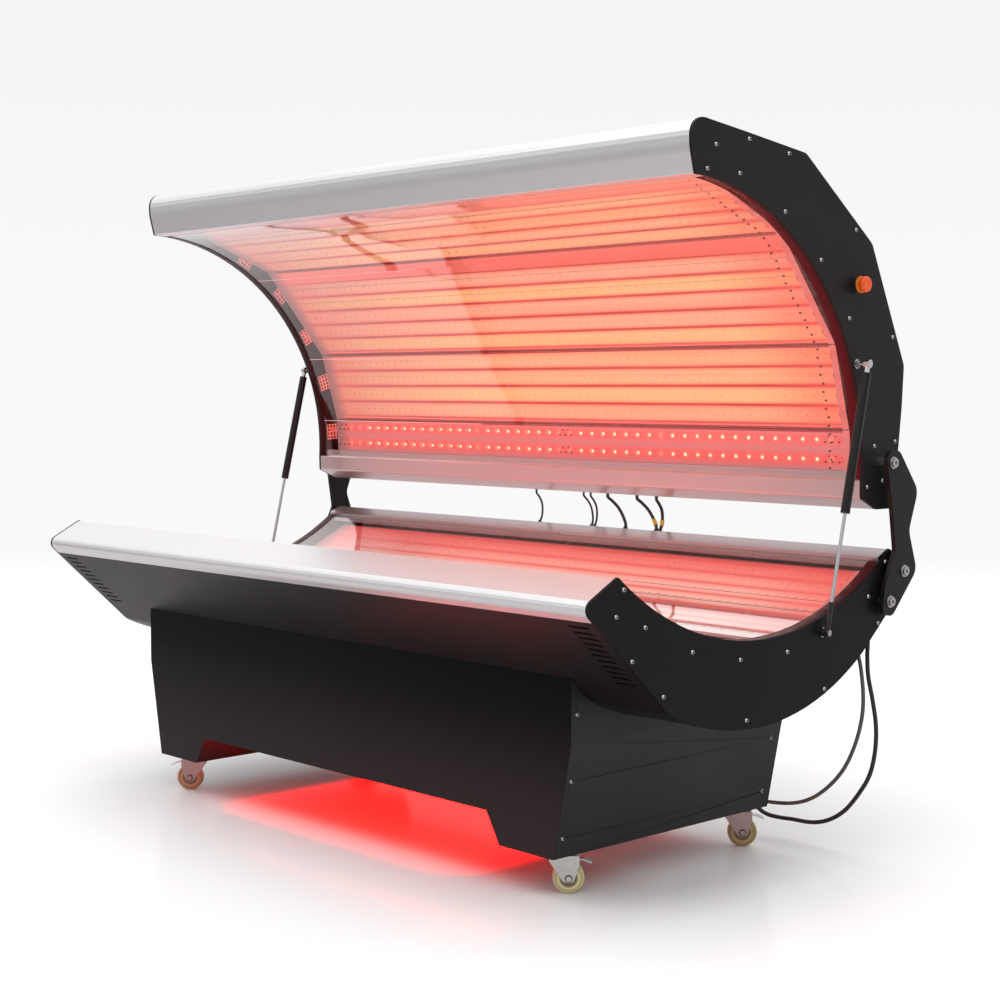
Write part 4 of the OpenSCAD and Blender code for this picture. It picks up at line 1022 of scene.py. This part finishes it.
def solids_of(name):
    """The separate solids of a CAD node, each as a list of its corners."""
    mesh = frame["nodes"][name].data
    spots = {}
    spot = [spots.setdefault(tuple(round(c, 5) for c in v.co), len(spots)) for v in mesh.vertices]
    parent = list(range(len(spots)))

    def root(i):
        while parent[i] != i:
            parent[i] = parent[parent[i]]
            i = parent[i]
        return i

    for face in mesh.polygons:
        first = root(spot[face.vertices[0]])
        for v in face.vertices:
            parent[root(spot[v])] = first
    groups = {}
    for place, i in spots.items():
        groups.setdefault(root(i), []).append(place)
    return list(groups.values())


def on_head(corners):
    """Places points on a screw's outer face, whose axis is the one across its two equal widths."""
    low = [min(p[i] for p in corners) for i in range(3)]
    high = [max(p[i] for p in corners) for i in range(3)]
    mid = [(a + b) / 2 for a, b in zip(low, high)]
    size = [b - a for a, b in zip(low, high)]
    axis = min(range(3), key=lambda i: abs(size[i - 1] - size[i - 2]))
    side = 1 if mid[axis] > 0 else -1
    top = high[axis] if side > 0 else low[axis]

    def place(a, b, h):
        point = list(mid)
        point[axis] = top + side * h
        point[axis - 1] += a
        point[axis - 2] += b
        return Vector(point)

    return place


def make_drives(name, node, body):
    heap = Heap()
    for corners in solids_of(node):
        heap.add(*lathe(DRIVE_PROFILE, HEXAGON, on_head(corners)))
    add_piece(name, heap.points, heap.faces, body, "drive", "black_plastic")


make_drives("canopy_drives", "canopy_screws", "canopy")
make_drives("base_drives", "base_screws", "base")


# CAD nodes that stay get their slot's finish, apart from the casters' and those named here
OWN = {
    "canopy_led_boards": "canopy_glow", "tub_led_boards": "tub_glow",
    "estop_collar": "stop_collar", "underglow_strip": "underglow", "canopy_ribs": "canopy_walls",
    "canopy_end_plate_right": "canopy_plate_right", "canopy_end_plate_left": "canopy_plate_left",
    "tub_end_plate_right": "tub_plate", "tub_end_plate_left": "tub_plate",
    "plinth_end_panel_right": "end_panel", "plinth_end_panel_left": "end_panel",
    # The floor pan takes the end panels' black in place of its slot's grey: painted shade under the plinth
    "plinth_floor_pan": "end_panel", "plinth_front_panel": "front_panel",
    "strut_upper_studs": "dark_steel", "strut_lower_studs": "dark_steel",
    "canopy_rear_profile": "canopy_rear_silver_painted_shade", "tub_rear_profile": "tub_rear_silver_painted_shade",
}
WHEEL, FORK = "caster_wheel_", "caster_fork_"


def dress_nodes():
    slots = {part["node"]: part["material_slot"] for part in frame["record"]["subparts"]}
    for name, node in frame["nodes"].items():
        if name.startswith(WHEEL):
            corners = [Vector(corner) for corner in node.bound_box]
            finish = wheel_material(name.removeprefix(WHEEL), sum(corners, Vector()) / 8).material
        elif name.startswith(FORK):
            finish = fork_material(name.removeprefix(FORK)).material
        else:
            finish = materials[OWN.get(name, slots[name])]
        node.data.materials.clear()
        node.data.materials.append(finish)


dress_nodes()


# Sheet edges are broken, as on folded and powder-coated sheet
SHEETS = ["plinth_front_panel"] + [
    f"{part}_{side}" for part in ("canopy_end_plate", "tub_end_plate", "hinge_arm", "plinth_end_panel")
    for side in ("right", "left")
]
WELD_WIDTH = 0.00005
EDGE_WIDTH = 0.0008
SHARP_FROM = math.radians(50)


def soften(names):
    for name in names:
        node = frame["nodes"][name]
        weld = node.modifiers.new("weld", "WELD")
        weld.merge_threshold = WELD_WIDTH
        edge = node.modifiers.new("edge", "BEVEL")
        edge.width = EDGE_WIDTH
        edge.segments = 2
        edge.limit_method = "ANGLE"
        edge.angle_limit = SHARP_FROM
        edge.harden_normals = True


soften(SHEETS)


# Studio: pale floor with a faint sheen, white surroundings, soft lamps
FLOOR_HALF = 90
FLOOR_SHEEN = 0.10
FLOOR_FADE = (3.5, 9.0)
# Where the painted pool of red light under the plinth fades out, across and ahead
RED_POOL_X, RED_POOL_Y = (0.45, 0.80), (0.22, 0.42)

# The surroundings' strength fades with a ray's rise, or its way back: from, to, strength at each
LIGHT_BY_HEIGHT = (0.0, 1.0, 0.20, 1.72)
MIRRORED_BY_HEIGHT = (-0.45, 0.80, 0.0, 1.36)
MIRRORED_BY_DEPTH = (0.30, -0.40, 0.75, 0.36)
BACKDROP_BY_HEIGHT = (0.0, 0.32, 0.96, 0.895)


def floor_material():
    """White, but greyer to mirror rays, with a painted pool of red light under the plinth, and fading out far
    away.
    """
    s = Shader("studio_floor")
    x, y, _ = s.axes()
    mirrored = s.node("ShaderNodeLightPath").outputs["Is Glossy Ray"]
    shade = s.mix(mirrored, (0.95, 0.945, 0.947), (0.54, 0.525, 0.53))
    # Painted light: a pool of red glow on the floor under the plinth
    past_side = s.between(s.abs(x), *RED_POOL_X)
    past_front = s.between(s.abs(y), *RED_POOL_Y)
    red_pool = s.times(s.minus(1.0, past_side), s.minus(1.0, past_front))
    white = s.node("ShaderNodeBsdfDiffuse")
    s.join(s.mix(red_pool, shade, (0.95, 0.22, 0.21)), white.inputs["Color"])
    sheen = s.node("ShaderNodeBsdfGlossy")
    s.feed(sheen.inputs["Roughness"], s.span(s.noise(1.2, 3), 0.10, 0.18))
    mixer = s.node("ShaderNodeMixShader")
    mixer.inputs[0].default_value = FLOOR_SHEEN
    s.join(white.outputs[0], mixer.inputs[1])
    s.join(sheen.outputs[0], mixer.inputs[2])
    fading = s.node("ShaderNodeMixShader")
    s.join(s.between(s.length(x, y), *FLOOR_FADE), fading.inputs[0])
    s.join(mixer.outputs[0], fading.inputs[1])
    s.join(s.node("ShaderNodeBsdfTransparent").outputs[0], fading.inputs[2])
    s.join(fading.outputs[0], s.out.inputs["Surface"])
    s.tree.nodes.remove(s.main)
    return s.material


def make_floor():
    mesh = bpy.data.meshes.new("studio_floor")
    mesh.from_pydata([(FLOOR_HALF * i, FLOOR_HALF * j, 0) for i, j in SQUARE], [], [(0, 1, 2, 3)])
    mesh.materials.append(floor_material())
    floor = bpy.data.objects.new("studio_floor", mesh)
    link(floor)


def make_world():
    """Light mostly from above, so undersides are dark. The backdrop is even and pale, and mirror rays see
    more light above and behind."""
    world = bpy.data.worlds.new("studio")
    world.use_nodes = True
    nodes, links = world.node_tree.nodes, world.node_tree.links
    background = next(n for n in nodes if n.type == "BACKGROUND")
    split = nodes.new("ShaderNodeSeparateXYZ")
    links.new(nodes.new("ShaderNodeTexCoord").outputs["Generated"], split.inputs[0])
    _, y, z = split.outputs

    def fade(socket, low, high, at_low, at_high):
        n = nodes.new("ShaderNodeMapRange")
        n.interpolation_type = "SMOOTHSTEP"
        links.new(socket, n.inputs["Value"])
        for key, value in (("From Min", low), ("From Max", high), ("To Min", at_low), ("To Max", at_high)):
            n.inputs[key].default_value = value
        return n.outputs[0]

    def pick(factor, a, b):
        n = nodes.new("ShaderNodeMix")
        for socket, source in zip(n.inputs[:1] + n.inputs[2:4], (factor, a, b)):
            links.new(source, socket)
        return n.outputs[0]

    mirrored = nodes.new("ShaderNodeMath")
    mirrored.operation = "MAXIMUM"
    links.new(fade(z, *MIRRORED_BY_HEIGHT), mirrored.inputs[0])
    links.new(fade(y, *MIRRORED_BY_DEPTH), mirrored.inputs[1])
    path = nodes.new("ShaderNodeLightPath")
    strength = pick(path.outputs["Is Glossy Ray"], fade(z, *LIGHT_BY_HEIGHT), mirrored.outputs[0])
    strength = pick(path.outputs["Is Camera Ray"], strength, fade(z, *BACKDROP_BY_HEIGHT))
    links.new(strength, background.inputs["Strength"])
    background.inputs["Color"].default_value = (1.0, 0.990, 0.995, 1)
    bpy.context.scene.world = world


def add_lamp(name, at, to, size, power, colour, body=None, spread=180):
    data = bpy.data.lights.new(name, "AREA")
    data.shape = "RECTANGLE"
    data.size, data.size_y = size
    data.energy = power
    data.color = colour
    data.spread = math.radians(spread)
    piece = bpy.data.objects.new(name, data)
    piece.location = at
    piece.rotation_euler = (Vector(to) - Vector(at)).to_track_quat("-Z", "Y").to_euler()
    piece.visible_glossy = name == "ceiling_lamp"
    piece.visible_camera = False
    link(piece)
    if body:
        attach(piece, body)


def make_lamps():
    add_lamp("ceiling_lamp", (0.4, -2.3, 5.0), (0.2, -1.5, 0), (6.0, 3.0), 60, (1, 1, 1))
    add_lamp("underglow_lamp", (-0.02, -0.02, RIDE + 0.05), (-0.02, -0.02, 0), (0.88, 0.60), 24,
             (1.0, 0.008, 0.006), spread=78)
    add_lamp("skin_lamp", (0.45, -0.72, 0.03), (0.45, -0.50, 0.60), (1.2, 0.25), 1.3, (1.0, 0.02, 0.03))
    add_lamp("hollow_lamp", (0, *ring(HOLLOW["centre"], 0.60, 50)), (0, 0.45, 0.80), (1.9, 0.5), 15.5,
             (1.0, 0.14, 0.12), "canopy", 120)
    add_lamp("trough_lamp", (0, *ring(TROUGH["centre"], 0.72, 270)), (0, *TROUGH["centre"]), (1.9, 0.5), 17.5,
             (1.0, 0.22, 0.19), "base")


make_floor()
make_world()
make_lamps()

view = bpy.context.scene.view_settings
view.view_transform = "Standard"
view.look = "None"
